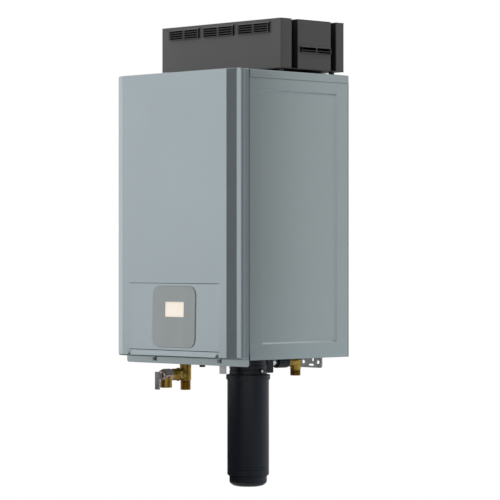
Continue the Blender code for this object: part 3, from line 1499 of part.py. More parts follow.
def blade_outline(angle):
    """One forward-curved blade seen along the shaft."""
    front, back = [], []
    for step in range(BLADE_STEPS + 1):
        share = step / BLADE_STEPS
        radius = BLADE_IN_R + (BLADE_OUT_R - BLADE_IN_R) * share
        middle = angle + BLADE_LEAN * share**2
        half = BLADE_T / 2 / radius
        for side, edge in ((-half, front), (half, back)):
            x = BLOWER_X + radius * math.cos(middle + side)
            edge.append((x, BLOWER_Z + radius * math.sin(middle + side)))
    return front + back[::-1]


def build_impeller():
    """The blower's wheel: curved blades between a back plate and a front ring, on a hub and shaft."""
    half = IMPELLER_W / 2
    inner = half - IMPELLER_PLATE
    profile = [
        (0, half - HUB_LENGTH),
        (HUB_R, half - HUB_LENGTH),
        (HUB_R, inner),
        (IMPELLER_R, inner),
        (IMPELLER_R, half),
        (SHAFT_R, half),
        (SHAFT_R, half + SHAFT_LENGTH),
        (0, half + SHAFT_LENGTH),
    ]
    centre = (BLOWER_X, BLOWER_Y, BLOWER_Z)
    wheel = put("blower_impeller", turned(profile, centre, (0, 1, 0)), "black_plastic")
    blades = []
    for number in range(BLADE_COUNT):
        outline = blade_outline(math.tau * number / BLADE_COUNT)
        low, high = BLOWER_Y - half + IMPELLER_PLATE / 2, BLOWER_Y + half - IMPELLER_PLATE / 2
        blades.append(prism(outline, "XZ", low, high))
    join(wheel, merged(*blades))
    ring = [(IMPELLER_EYE_R, -half), (IMPELLER_R, -half), (IMPELLER_R, -inner), (IMPELLER_EYE_R, -inner)]
    join(wheel, turned(ring, centre, (0, 1, 0)))
    set_origin(wheel, centre)


def set_origin(piece, place):
    """Moves a piece's origin, and leaves its mesh and its tools where they are."""
    place = Vector(place)
    piece.data.transform(Matrix.Translation(-place))
    piece.location = place


def build_motor():
    """The blower's motor, on a flange behind the scroll."""
    bore = around(SHAFT_R)
    profile = [
        (bore, 0),
        (MOTOR_FLANGE_R, 0),
        (MOTOR_FLANGE_R, MOTOR_FLANGE_T),
        (MOTOR_R, MOTOR_FLANGE_T),
        (MOTOR_R, MOTOR_LENGTH - MOTOR_EDGE_R),
        (MOTOR_R - MOTOR_EDGE_R, MOTOR_LENGTH),
        (0, MOTOR_LENGTH),
        (0, SHAFT_LENGTH),
        (bore, SHAFT_LENGTH),
    ]
    put("blower_motor", turned(profile, (BLOWER_X, BLOWER_BACK + SEAT, BLOWER_Z), (0, 1, 0)), "steel")


def build_mixer():
    """The gas and air mixer on the blower's inlet: a venturi with the gas port on its right."""
    profile = [
        (MIXER_MOUTH_R, 0),
        (MIXER_FLANGE_R, 0),
        (MIXER_FLANGE_R, MIXER_FLANGE_T),
        (MIXER_R, MIXER_FLANGE_T),
        (MIXER_R, MIXER_LENGTH),
        (MIXER_MOUTH_R, MIXER_LENGTH),
        (MIXER_THROAT_R, (MIXER_LENGTH + MIXER_THROAT_H) / 2),
        (MIXER_THROAT_R, (MIXER_LENGTH - MIXER_THROAT_H) / 2),
    ]
    centre = (BLOWER_X, BLOWER_FRONT - SEAT, BLOWER_Z)
    mixer = put("gas_air_mixer", turned(profile, centre, (0, -1, 0)), "cast_alloy")
    port_start = BLOWER_X + (MIXER_R + MIXER_THROAT_R) / 2
    port_end = BLOWER_X + MIXER_R + MIXER_PORT_OUT
    join(mixer, rod((port_start, MIXER_Y, BLOWER_Z), (port_end, MIXER_Y, BLOWER_Z), MIXER_PORT_R))
    bore_end = port_end + OVERRUN
    cut(mixer, rod((BLOWER_X, MIXER_Y, BLOWER_Z), (bore_end, MIXER_Y, BLOWER_Z), MIXER_PORT_BORE_R))


def build_gas_train():
    """The gas inlet nipple, the gas valve with its plunger, and the pipe to the mixer."""
    top = NIPPLE_BELOW + PAN_RISE + NIPPLE_ABOVE
    collar = NIPPLE_BELOW + PAN_RISE - SHEET - SEAT
    profile = [
        (NIPPLE_BORE_R, 0),
        (NIPPLE_R, 0),
        (NIPPLE_R, collar - NIPPLE_COLLAR_T),
        (NIPPLE_COLLAR_R, collar - NIPPLE_COLLAR_T),
        (NIPPLE_COLLAR_R, collar),
        (NIPPLE_R, collar),
        (NIPPLE_R, top),
        (NIPPLE_BORE_R, top),
    ]
    put("gas_inlet_nipple", turned(profile, (GAS_X, GAS_Y, CASE_BASE - NIPPLE_BELOW)), "brass")
    low = (GAS_X - GAS_BODY_W / 2, GAS_Y - GAS_BODY_D / 2, GAS_BODY_BASE)
    high = (GAS_X + GAS_BODY_W / 2, GAS_Y + GAS_BODY_D / 2, GAS_BODY_TOP)
    valve = put("gas_valve", block(low, high, BOX_EDGE_R), "cast_alloy")
    inside = GAS_Y + GAS_BODY_D / 4
    join(valve, rod((GAS_X, inside, SOLENOID_Z), (GAS_X, SOLENOID_END, SOLENOID_Z), SOLENOID_R, ROUND_SIDES))
    cut(valve, upright(GAS_X, GAS_Y, GAS_BODY_BASE, GAS_BODY_TOP, GAS_BORE_R))
    bore_start = (GAS_X, GAS_Y, SOLENOID_Z)
    cut(valve, rod(bore_start, (GAS_X, SOLENOID_END + OVERRUN, SOLENOID_Z), PLUNGER_R + SEAT))
    nose = GAS_Y + PLUNGER_NOSE
    bm = rod((GAS_X, nose, SOLENOID_Z), (GAS_X, nose + PLUNGER_LENGTH, SOLENOID_Z), PLUNGER_R)
    plunger = put("gas_valve_plunger", bm, "steel")
    set_origin(plunger, (GAS_X, nose, SOLENOID_Z))
    port = (BLOWER_X + MIXER_R + MIXER_PORT_OUT + SEAT, MIXER_Y, BLOWER_Z)
    path = [(GAS_X, GAS_Y, GAS_BODY_TOP + SEAT), (GAS_X, GAS_Y, BLOWER_Z), (GAS_X, MIXER_Y, BLOWER_Z), port]
    put("gas_pipe", pipe(bent(path), GAS_PIPE_R), "steel")


def sector(inner, outer, middle, span, low, high, centre):
    """A slice of a ring, in degrees about its middle."""
    steps = 4
    outline = arc(centre, outer, middle - span / 2, middle + span / 2, steps)
    outline += arc(centre, inner, middle + span / 2, middle - span / 2, steps)
    return prism(outline, "XY", low, high)


def build_cartridge():
    """The treatment cartridge: collar, canister, cap and a bored neck with three bayonet lugs."""
    base = -COLLAR_H - CANISTER_H
    cap = base - GROOVE_H
    dome = cap - CAP_H
    groove = ORING_LEVEL - ORING_GROOVE / 2
    groove_r = ORING_RING_R - ORING_R - SEAT
    profile = [
        (0, dome - DOME_H),
        *[(CAP_R * across, dome - DOME_H * drop) for across, drop in DOME_SHARES],
        (CAP_R, dome),
        (CAP_R, cap),
        (CANISTER_R - GROOVE_DEPTH, cap),
        (CANISTER_R - GROOVE_DEPTH, base),
        (CANISTER_R, base),
        (CANISTER_R, -COLLAR_H),
        (COLLAR_R, -COLLAR_H),
        (COLLAR_R, 0),
        (NECK_R, 0),
        (NECK_R, groove),
        (groove_r, groove),
        (groove_r, groove + ORING_GROOVE),
        (NECK_R, groove + ORING_GROOVE),
        (NECK_R, NECK_H),
        (0, NECK_H),
    ]
    centre = (CARTRIDGE_X, CARTRIDGE_Y, COLLAR_Z)
    cartridge = put("cartridge", turned(profile, centre, sides=CARTRIDGE_SIDES), "black_plastic")
    low = COLLAR_Z + LUG_LOW
    lugs = []
    for number in range(LUG_COUNT):
        middle = 360 * number / LUG_COUNT
        lugs.append(sector(NECK_R - LUG_LAP, LUG_R, middle, LUG_SPAN, low, low + LUG_H, centre))
    join(cartridge, merged(*lugs))
    neck = (CARTRIDGE_X, CARTRIDGE_Y, COLLAR_Z + NECK_H + OVERRUN)
    cut(cartridge, rod((CARTRIDGE_X, CARTRIDGE_Y, COLLAR_Z), neck, PORT_R))
    set_origin(cartridge, centre)
    ring = arc((ORING_RING_R, ORING_LEVEL), ORING_R, 0, 360, ORING_STEPS)[:-1]
    oring = put("cartridge_o_ring", turned(ring, centre, sides=CARTRIDGE_SIDES), "rubber")
    set_origin(oring, centre)


def build_head():
    """The head over the cartridge: a socket with a bayonet groove, an inlet block and a boss upwards."""
    bottom = SEAT
    top = HEAD_TOP - COLLAR_Z
    ceiling = HEAD_SOCKET_H
    groove_r = around(LUG_R, CARTRIDGE_SIDES)
    profile = [
        (HEAD_BORE_R, bottom),
        (HEAD_R, bottom),
        (HEAD_R, top),
        (BOSS_R, top),
        (BOSS_R, BOSS_TOP - COLLAR_Z),
        (0, BOSS_TOP - COLLAR_Z),
        (0, ceiling),
        (HEAD_BORE_R, ceiling),
        (HEAD_BORE_R, LUG_LOW + LUG_H + SEAT),
        (groove_r, LUG_LOW + LUG_H + SEAT),
        (groove_r, LUG_LOW - SEAT),
        (HEAD_BORE_R, LUG_LOW - SEAT),
    ]
    centre = (CARTRIDGE_X, CARTRIDGE_Y, COLLAR_Z)
    head = put("cartridge_head", turned(profile, centre, sides=CARTRIDGE_SIDES), "black_plastic")
    half = HEAD_BLOCK_W / 2
    front = CARTRIDGE_Y + HEAD_BORE_R + HEAD_BLOCK_LAP
    low = (CARTRIDGE_X - half, front, COLLAR_Z + SEAT + HEAD_BLOCK_MARGIN)
    high = (CARTRIDGE_X + half, HEAD_BACK, HEAD_TOP - HEAD_BLOCK_MARGIN)
    join(head, block(low, high, HEAD_BLOCK_EDGE_R))
    bleed_z = CASE_BASE - BLEED_DROP
    bleed_start = (CARTRIDGE_X + LUG_R + BLEED_BOSS_LAP, CARTRIDGE_Y, bleed_z)
    bleed_end = (CARTRIDGE_X + HEAD_R + BLEED_BOSS_OUT, CARTRIDGE_Y, bleed_z)
    join(head, rod(bleed_start, bleed_end, BLEED_BOSS_R))
    slots = []
    for number in range(LUG_COUNT):
        middle = 360 * number / LUG_COUNT + LUG_TWIST
        slot_high = COLLAR_Z + LUG_LOW + SEAT
        slots.append(sector(NECK_R, groove_r, middle, LUG_SLOT_SPAN, COLLAR_Z - OVERRUN, slot_high, centre))
    cut(head, merged(*slots))
    cut(head, upright(CARTRIDGE_X, CARTRIDGE_Y, COLLAR_Z + ceiling, BOSS_TOP, PORT_R))
    inlet_end = CARTRIDGE_Y + HEAD_BORE_R - OVERRUN
    cut(head, rod((CARTRIDGE_X, HEAD_BACK + OVERRUN, WATER_Z), (CARTRIDGE_X, inlet_end, WATER_Z), PORT_R))


def build_head_bracket():
    """The zinc plate under the pan that carries the head, with its front tab bent down."""
    right = HEAD_PLATE_X + HEAD_PLATE_W
    top = PAN_UNDER - SEAT
    base = top - HEAD_PLATE_T
    low = (HEAD_PLATE_X, HEAD_TAB_Y, base)
    plate = put("head_bracket", block(low, (right, HEAD_TAB_Y + HEAD_PLATE_D, top)), "zinc")
    tab_low = (HEAD_TAB_X, HEAD_TAB_Y, CASE_BASE - HEAD_TAB_DROP)
    tab_high = (HEAD_TAB_X + HEAD_TAB_W, HEAD_TAB_Y + HEAD_PLATE_T, top - HEAD_PLATE_T / 2)
    join(plate, block(tab_low, tab_high))
    cut(plate, upright(CARTRIDGE_X, CARTRIDGE_Y, base, top, around(BOSS_R), ROUND_SIDES))
    cut(plate, upright(GAS_X, GAS_Y, base, top, HEAD_PLATE_HOLE_R, ROUND_SIDES))


def rib_outline(centre, radius, ribs, depth):
    """A round outline with shallow ribs."""
    outline = []
    for number in range(ribs * 3):
        angle = math.tau * (number + 0.5) / (ribs * 3)
        reach = radius - depth if number % 3 == 2 else radius
        outline.append((centre[0] + reach * math.cos(angle), centre[1] + reach * math.sin(angle)))
    return outline


def build_cold_inlet():
    """The cold inlet line behind the head: tailpiece, ribbed coupling nut and elbow."""
    start = HEAD_BACK + SEAT
    flange = NUT_START + NUT_WALL + SEAT
    length = flange + TAILPIECE_FLANGE_T - start
    profile = [
        (PORT_R, 0),
        (TAILPIECE_R, 0),
        (TAILPIECE_R, length - TAILPIECE_FLANGE_T),
        (TAILPIECE_FLANGE_R, length - TAILPIECE_FLANGE_T),
        (TAILPIECE_FLANGE_R, length),
        (PORT_R, length),
    ]
    line = (CARTRIDGE_X, start, WATER_Z)
    put("inlet_tailpiece", turned(profile, line, (0, 1, 0)), "stainless")
    outline = rib_outline((CARTRIDGE_X, WATER_Z), NUT_R, NUT_RIBS, NUT_RIB)
    nut = put("coupling_nut", prism(outline, "XZ", NUT_START, NUT_END), "black_plastic")
    past = NUT_END + OVERRUN
    end = (CARTRIDGE_X, past, WATER_Z)
    cut(nut, rod((CARTRIDGE_X, NUT_START - OVERRUN, WATER_Z), end, around(TAILPIECE_R), ROUND_SIDES))
    cut(nut, rod((CARTRIDGE_X, NUT_START + NUT_WALL, WATER_Z), end, NUT_BORE_R, ROUND_SIDES))
    neck = flange + TAILPIECE_FLANGE_T + SEAT
    turn = ELBOW_Y - neck
    profile = [
        (0, 0),
        (NUT_INSIDE_R, 0),
        (NUT_INSIDE_R, NUT_END - neck),
        (ELBOW_R, NUT_END - neck + SEAT),
        (ELBOW_R, turn),
        *[(ELBOW_R * across, turn + ELBOW_R * beyond) for across, beyond in ELBOW_END_SHARES],
        (0, turn + ELBOW_R),
    ]
    elbow = put("inlet_elbow", turned(profile, (CARTRIDGE_X, neck, WATER_Z), (0, 1, 0)), "brass")
    end = CASE_BASE - ELBOW_DROP
    drop = [
        (0, 0),
        (THREAD_R, 0),
        (THREAD_R, THREAD_H),
        (ELBOW_DROP_R, THREAD_H + SHEET),
        (ELBOW_DROP_R, WATER_Z - end),
        (0, WATER_Z - end),
    ]
    join(elbow, turned(drop, (CARTRIDGE_X, ELBOW_Y, end)))
    cut(elbow, rod((CARTRIDGE_X, ELBOW_Y, end - OVERRUN), (CARTRIDGE_X, ELBOW_Y, WATER_Z), THREAD_BORE_R))
    cut(elbow, rod((CARTRIDGE_X, neck - OVERRUN, WATER_Z), (CARTRIDGE_X, ELBOW_Y, WATER_Z), PORT_R))


def build_inlet_pipe():
    """The short pipe from the head's boss to the flow sensor."""
    profile = [(PORT_R, 0), (SENSOR_R, 0), (SENSOR_R, INLET_PIPE_H), (PORT_R, INLET_PIPE_H)]
    put("inlet_pipe", turned(profile, (CARTRIDGE_X, CARTRIDGE_Y, BOSS_TOP + SEAT)), "brass")


def spider(level):
    """Three arms on a small hub, seen from above, between two levels."""
    outline = []
    for number in range(3):
        turn = math.tau * number / 3
        for side in (-1, 1):
            x, y = SPIDER_REACH, side * SPIDER_W / 2
            outline.append((x * math.cos(turn) - y * math.sin(turn), x * math.sin(turn) + y * math.cos(turn)))
        between = turn + math.tau / 6
        outline.append((SPIDER_HUB_R * math.cos(between), SPIDER_HUB_R * math.sin(between)))
    placed = [(CARTRIDGE_X + x, CARTRIDGE_Y + y) for x, y in outline]
    return prism(placed, "XY", level, level + SPIDER_T)


def build_flow_sensor():
    """The flow sensor: a tube with two spiders and an axle, and the turbine that turns on it."""
    centre = (CARTRIDGE_X, CARTRIDGE_Y, SENSOR_BASE)
    profile = [(SENSOR_BORE_R, 0), (SENSOR_R, 0), (SENSOR_R, SENSOR_H), (SENSOR_BORE_R, SENSOR_H)]
    sensor = put("flow_sensor", turned(profile, centre), "grey_plastic")
    join(sensor, merged(spider(SENSOR_BASE + SPIDER_LOW), spider(SENSOR_BASE + SPIDER_HIGH)))
    low = SENSOR_BASE + SPIDER_LOW + SPIDER_T / 2
    high = SENSOR_BASE + SPIDER_HIGH + SPIDER_T / 2
    join(sensor, rod((CARTRIDGE_X, CARTRIDGE_Y, low), (CARTRIDGE_X, CARTRIDGE_Y, high), AXLE_R))
    base = SENSOR_BASE + ROTOR_LOW
    hub = [(ROTOR_BORE_R, 0), (ROTOR_HUB_R, 0), (ROTOR_HUB_R, ROTOR_H), (ROTOR_BORE_R, ROTOR_H)]
    spot = (CARTRIDGE_X, CARTRIDGE_Y, base)
    rotor = put("flow_turbine", turned(hub, spot, sides=SMALL_SIDES), "ceramic")
    vanes = [twisted_vane(math.tau * number / ROTOR_VANES, spot) for number in range(ROTOR_VANES)]
    join(rotor, merged(*vanes))
    set_origin(rotor, spot)


def twisted_vane(start, centre):
    """One vane, twisted as it rises around the hub."""
    bm = bmesh.new()
    height = ROTOR_H - 2 * VANE_MARGIN
    half = VANE_T / 2
    corners = [(VANE_IN_R, -half), (ROTOR_R, -half), (ROTOR_R, half), (VANE_IN_R, half)]
    levels = []
    for step in range(VANE_STEPS + 1):
        share = step / VANE_STEPS
        turn = Matrix.Rotation(start + VANE_TWIST * share, 4, "Z")
        lift = Vector((0, 0, VANE_MARGIN + height * share))
        levels.append([bm.verts.new(turn @ Vector((x, y, 0)) + lift) for x, y in corners])
    bm.faces.new(reversed(levels[0]))
    bm.faces.new(levels[-1])
    for below, above in zip(levels, levels[1:]):
        for number in range(4):
            after = (number + 1) % 4
            bm.faces.new((below[number], below[after], above[after], above[number]))
    bmesh.ops.recalc_face_normals(bm, faces=bm.faces[:])
    bmesh.ops.translate(bm, vec=Vector(centre), verts=bm.verts[:])
    return bm


def build_flow_valve():
    """The flow control valve: a block with a motor in front, and the spool that turns inside it."""
    half = VALVE_W / 2
    low = (CARTRIDGE_X - half, CARTRIDGE_Y - half, VALVE_BASE)
    high = (CARTRIDGE_X + half, CARTRIDGE_Y + half, VALVE_BASE + VALVE_H)
    valve = put("flow_control_valve", block(low, high, VALVE_EDGE_R), "grey_plastic")
    front = CARTRIDGE_Y - half
    motor_end = front - VALVE_MOTOR_LENGTH
    spot = Vector((CARTRIDGE_X, CARTRIDGE_Y, VALVE_Z))
    motor_start = (spot.x, front + VALVE_MOTOR_LAP, spot.z)
    join(valve, rod(motor_start, (spot.x, motor_end, spot.z), VALVE_MOTOR_R, ROUND_SIDES))
    chamber = SPOOL_LENGTH / 2 + SEAT
    low, high = (spot.x, spot.y - chamber, spot.z), (spot.x, spot.y + chamber, spot.z)
    cut(valve, rod(low, high, around(SPOOL_R), ROUND_SIDES))
    stem_end = spot.y - SPOOL_LENGTH / 2 - SPOOL_STEM
    cut(valve, rod((spot.x, stem_end - SEAT, spot.z), spot, around(SPOOL_STEM_R, SMALL_SIDES)))
    cut(valve, rod((spot.x, spot.y, VALVE_BASE - OVERRUN), (spot.x, spot.y, spot.z), VALVE_PORT_R))
    cut(valve, rod((spot.x, spot.y, spot.z), (spot.x + half + OVERRUN, spot.y, spot.z), VALVE_PORT_R))
    profile = [
        (0, -SPOOL_LENGTH / 2),
        (SPOOL_R, -SPOOL_LENGTH / 2),
        (SPOOL_R, SPOOL_LENGTH / 2),
        (SPOOL_STEM_R, SPOOL_LENGTH / 2),
        (SPOOL_STEM_R, SPOOL_LENGTH / 2 + SPOOL_STEM),
        (0, SPOOL_LENGTH / 2 + SPOOL_STEM),
    ]
    spool = put("flow_control_spool", turned(profile, spot, (0, -1, 0)), "ceramic")
    beyond = SPOOL_R + OVERRUN
    across = SPOOL_PORT_R * SPOOL_PORT_SHARE
    cut(spool, rod((spot.x, spot.y, spot.z + across), (spot.x, spot.y, spot.z - beyond), SPOOL_PORT_R))
    cut(spool, rod((spot.x, spot.y, spot.z), (spot.x + beyond, spot.y, spot.z), across))
    set_origin(spool, spot)


def build_pipes():
    """The riser to the secondary, the link to the primary, and the hot pipe down to the outlet tee."""
    start = (CARTRIDGE_X + VALVE_W / 2 + SEAT, CARTRIDGE_Y, VALVE_Z)
    port = (STACK_RIGHT + SECONDARY_PORT_OUT + SEAT, STACK_Y, SECONDARY_PORT_Z)
    path = [
        start,
        (RIGHT_PIPE_X, CARTRIDGE_Y, VALVE_Z),
        (RIGHT_PIPE_X, CARTRIDGE_Y, SECONDARY_PORT_Z),
        (RIGHT_PIPE_X, STACK_Y, SECONDARY_PORT_Z),
        port,
    ]
    put("riser_pipe", pipe(bent(path), PIPE_R), "copper")
    port = (STACK_LEFT - SECONDARY_PORT_OUT - SEAT, LINK_Y, SECONDARY_PORT_Z)
    stub = STACK_LEFT - TUBE_STUB - SEAT
    path = [
        port,
        (LEFT_PIPE_X, LINK_Y, SECONDARY_PORT_Z),
        (LEFT_PIPE_X, LINK_Y, TUBE_HIGH),
        (stub, LINK_Y, TUBE_HIGH),
    ]
    put("link_pipe", pipe(bent(path), PIPE_R), "copper")
    far = STACK_Y - TUBE_COLUMN_PITCH
    turn_z = PAN_FLOOR + TEE_ABOVE + HOT_TURN_RISE
    path = [
        (stub, far, TUBE_LOW),
        (LEFT_PIPE_X, far, TUBE_LOW),
        (LEFT_PIPE_X, far, turn_z),
        (TEE_X, TEE_Y, turn_z),
        (TEE_X, TEE_Y, PAN_FLOOR + TEE_ABOVE + SEAT),
    ]
    put("hot_outlet_pipe", pipe(bent(path), PIPE_R), "copper")


def build_tee():
    """The hot outlet's tee: down through the pan to a threaded port, with a branch to the front."""
    end = CASE_BASE - TEE_DROP
    shoulder = CASE_BASE - TEE_NECK_DROP
    profile = [
        (0, 0),
        (THREAD_R, 0),
        (THREAD_R, shoulder - end - SHEET),
        (TEE_BODY_R, shoulder - end),
        (TEE_BODY_R, PAN_FLOOR + TEE_ABOVE - end),
        (0, PAN_FLOOR + TEE_ABOVE - end),
    ]
    tee = put("outlet_tee", turned(profile, (TEE_X, TEE_Y, end)), "brass")
    branch = TEE_Y - TEE_BRANCH
    join(tee, rod((TEE_X, TEE_Y, TEE_Z), (TEE_X, branch, TEE_Z), TEE_BRANCH_R, ROUND_SIDES))
    cut(tee, upright(TEE_X, TEE_Y, end, PAN_FLOOR + TEE_ABOVE, TEE_BORE_R))
    cut(tee, rod((TEE_X, TEE_Y, TEE_Z), (TEE_X, branch - OVERRUN, TEE_Z), RELIEF_SEAT_R))


def along_relief(start, end, radius, sides=SMALL_SIDES):
    """A cutter along the relief valve's axis, between two distances from the tee."""
    return rod((TEE_X, TEE_Y - start, TEE_Z), (TEE_X, TEE_Y - end, TEE_Z), radius, sides)


def build_relief_valve():
    """The relief valve's body: hexagon, rings, bonnet and a downward outlet around one chamber."""
    start = TEE_BRANCH + SEAT
    profile = [(0, start), (RELIEF_BODY_R, start)]
    for number in range(RELIEF_RINGS):
        ring = RELIEF_RING_START + RELIEF_RING_PITCH * number
        profile += [(RELIEF_BODY_R, ring), (RELIEF_RING_R, ring)]
        profile += [(RELIEF_RING_R, ring + RELIEF_RING_T), (RELIEF_BODY_R, ring + RELIEF_RING_T)]
    profile += [
        (RELIEF_BODY_R, BONNET_START),
        (BONNET_R, BONNET_START),
        (BONNET_R, BONNET_END - CAP_FACE_T),
        (CAP_FACE_R, BONNET_END),
        (0, BONNET_END),
    ]
    body = put("relief_valve_body", turned(profile, (TEE_X, TEE_Y, TEE_Z), (0, -1, 0)), "brass")
    hexagon = along_relief(start + SHEET, start + SHEET + RELIEF_HEX_T, RELIEF_HEX_R, 6)
    join(body, hexagon)
    outlet_end = CASE_BASE - RELIEF_OUTLET_DROP
    outlet_top = (TEE_X, RELIEF_OUTLET_Y, TEE_Z - STEM_BORE_R)
    join(body, rod(outlet_top, (TEE_X, RELIEF_OUTLET_Y, outlet_end), RELIEF_OUTLET_R, ROUND_SIDES))
    cut(body, along_relief(start - OVERRUN, RELIEF_SEAT_OUT + SHEET, RELIEF_SEAT_R))
    cut(body, along_relief(RELIEF_SEAT_OUT, RELIEF_CHAMBER_END, RELIEF_CHAMBER_R, ROUND_SIDES))
    cut(body, along_relief(RELIEF_SEAT_OUT + SHEET, BONNET_END + OVERRUN, STEM_BORE_R))
    bore_end = (TEE_X, RELIEF_OUTLET_Y, outlet_end - OVERRUN)
    cut(body, rod(outlet_top, bore_end, RELIEF_OUTLET_BORE_R, ROUND_SIDES))


def build_relief_stem():
    """The relief valve's stem: a sealing disc, the stem through the bonnet, and the lever's pin."""
    disc = RELIEF_SEAT_OUT + SEAT
    end = BONNET_END + PIN_OUT + STEM_BEYOND_PIN
    profile = [
        (0, disc),
        (STEM_DISC_R, disc),
        (STEM_DISC_R, disc + STEM_DISC_T),
        (STEM_R, disc + STEM_DISC_T),
        (STEM_R, end),
        (0, end),
    ]
    stem = put("relief_stem", turned(profile, (TEE_X, TEE_Y, TEE_Z), (0, -1, 0)), "steel")
    reach = LEVER_W / 2 + PIN_END
    join(stem, rod((TEE_X - reach, PIN_Y, TEE_Z), (TEE_X + reach, PIN_Y, TEE_Z), PIN_R))
    set_origin(stem, (TEE_X, PIN_Y, TEE_Z))


def build_relief_lever():
    """The relief valve's test lever: a hanging channel whose ears ride on the stem's pin."""
    half = LEVER_W / 2
    inner = half - LEVER_T
    face = PIN_Y - LEVER_REACH
    outline = [
        (-half, face),
        (half, face),
        (half, face + LEVER_FLANGE),
        (inner, face + LEVER_FLANGE),
        (inner, face + LEVER_T),
        (-inner, face + LEVER_T),
        (-inner, face + LEVER_FLANGE),
        (-half, face + LEVER_FLANGE),
    ]
    placed = [(TEE_X + x, y) for x, y in outline]
    bm = prism(placed, "XY", TEE_Z - LEVER_BELOW, TEE_Z + LEVER_TOP)
    lever = put("relief_lever", bm, "stainless")
    ear_pair = []
    for side in (-1, 1):
        low = (TEE_X + side * inner, PIN_Y, TEE_Z)
        ear_pair.append(rod(low, (TEE_X + side * half, PIN_Y, TEE_Z), LEVER_EAR_R, ROUND_SIDES))
    join(lever, merged(*ear_pair))
    reach = half + OVERRUN
    cut(lever, rod((TEE_X - reach, PIN_Y, TEE_Z), (TEE_X + reach, PIN_Y, TEE_Z), PIN_HOLE_R))
    set_origin(lever, (TEE_X, PIN_Y, TEE_Z))


def build_condensate():
    """The condensate trap with its hose from the secondary, and the drain through the pan."""
    low = (DRAIN_X - TRAP_W / 2, DRAIN_Y - TRAP_D / 2, TRAP_BASE)
    high = (DRAIN_X + TRAP_W / 2, DRAIN_Y + TRAP_D / 2, TRAP_TOP)
    trap = put("condensate_trap", block(low, high, BOX_EDGE_R), "grey_plastic")
    cap_start = (DRAIN_X, DRAIN_Y, TRAP_TOP - TRAP_CAP_H)
    join(trap, rod(cap_start, (DRAIN_X, DRAIN_Y, TRAP_TOP + TRAP_CAP_H), TRAP_CAP_R, ROUND_SIDES))
    hose_z = SECONDARY_FLOOR + DRAIN_BOSS_RISE
    hose_start = STACK_FRONT - SECONDARY_PORT_OUT - SEAT
    hose_end = (DRAIN_X, DRAIN_Y, TRAP_TOP + TRAP_CAP_H / 2)
    path = [(DRAIN_X, hose_start, hose_z), (DRAIN_X, DRAIN_Y, hose_z), hose_end]
    join(trap, pipe(bent(path, HOSE_BEND), HOSE_R))
    cut(trap, upright(DRAIN_X, DRAIN_Y, TRAP_BASE, TRAP_BASE + OVERRUN, DRAIN_BORE_R))
    flange = PAN_UNDER - SEAT - CASE_BASE + DRAIN_DROP
    top = PAN_FLOOR - CASE_BASE + DRAIN_DROP
    profile = [
        (DRAIN_BORE_R, 0),
        (DRAIN_R, 0),
        (DRAIN_R, flange - DRAIN_FLANGE_T),
        (DRAIN_FLANGE_R, flange - DRAIN_FLANGE_T),
        (DRAIN_FLANGE_R, flange),
        (DRAIN_R, flange),
        (DRAIN_R, top),
        (DRAIN_BORE_R, top),
    ]
    centre = (DRAIN_X, DRAIN_Y, CASE_BASE - DRAIN_DROP)
    put("condensate_drain", turned(profile, centre), "black_plastic")


def wall_box(name, side, y, depth, rise, height, finish):
    """A box on a cabinet side, with a raised lid facing inwards."""
    outer, inner = side * FIELD_INNER, side * (FIELD_INNER - BOX_DEPTH)
    base = CASE_BASE + rise
    low = (min(outer, inner), y, base)
    box = put(name, block(low, (max(outer, inner), y + depth, base + height), BOX_EDGE_R), finish)
    lid = inner - side * BOX_LID_T
    sunk = inner + side * BOX_LAP
    margin = BOX_EDGE_R + BOX_LID_MARGIN
    lid_low = (min(lid, sunk), y + margin, base + margin)
    join(box, block(lid_low, (max(lid, sunk), y + depth - margin, base + height - margin)))
    return box


def build_electrics():
    """The control box, the junction box with its gland, and the spark transformer."""
    wall_box("control_box", -1, CONTROL_Y, CONTROL_D, CONTROL_RISE, CONTROL_H, "grey_plastic")
    box = wall_box("junction_box", -1, JUNCTION_Y, JUNCTION_D, JUNCTION_RISE, JUNCTION_H, "zinc")
    top = CASE_BASE + JUNCTION_RISE + BOX_LAP
    end = CASE_BASE - GLAND_DROP
    join(box, rod((GLAND_X, GLAND_Y, end), (GLAND_X, GLAND_Y, top), GLAND_R, ROUND_SIDES))
    bore = (GLAND_X, GLAND_Y, end + GLAND_BORE_H)
    cut(box, rod((GLAND_X, GLAND_Y, end - OVERRUN), bore, GLAND_BORE_R))
    spark = wall_box("spark_transformer", 1, SPARK_Y, SPARK_D, SPARK_RISE, SPARK_H, "black_plastic")
    stub_z = CASE_BASE + SPARK_RISE + SPARK_H
    stub_x = FIELD_INNER - BOX_DEPTH / 2
    stubs = []
    for share in SPARK_STUB_SHARES:
        y = SPARK_Y + SPARK_D * share
        stubs.append(rod((stub_x, y, stub_z - BOX_LAP), (stub_x, y, stub_z + SPARK_STUB), SPARK_STUB_R))
    join(spark, merged(*stubs))


def main():
    clear_scene()
    build_side("case_side_right", 1)
    build_side("case_side_left", -1)
    build_back()
    build_lid()
    build_pan()
    build_brackets()
    build_cover()
    build_gasket()
    build_cover_screw("cover_screw_left", -1)
    build_cover_screw("cover_screw_right", 1)
    build_bezel()
    build_display()
    build_hood_front()
    build_hood_back()
    build_deflector("hood_deflector_left", -1)
    build_deflector("hood_deflector_right", 1)
    build_hood_inside()
    build_flue()
    build_secondary()
    build_primary()
    build_burner()
    build_electrode("igniter", -1, IGNITER_REACH, "ceramic")
    build_electrode("flame_rod", 1, FLAME_ROD_REACH, "ceramic")
    build_blower_housing()
    build_impeller()
    build_motor()
    build_mixer()
    build_gas_train()
    build_cartridge()
    build_head()
    build_head_bracket()
    build_cold_inlet()
    build_inlet_pipe()
    build_flow_sensor()
    build_flow_valve()
    build_pipes()
    build_tee()
    build_relief_valve()
    build_relief_stem()
    build_relief_lever()
    build_condensate()
    build_electrics()


main()
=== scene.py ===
"""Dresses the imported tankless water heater, and sets its floor, lamps and camera."""

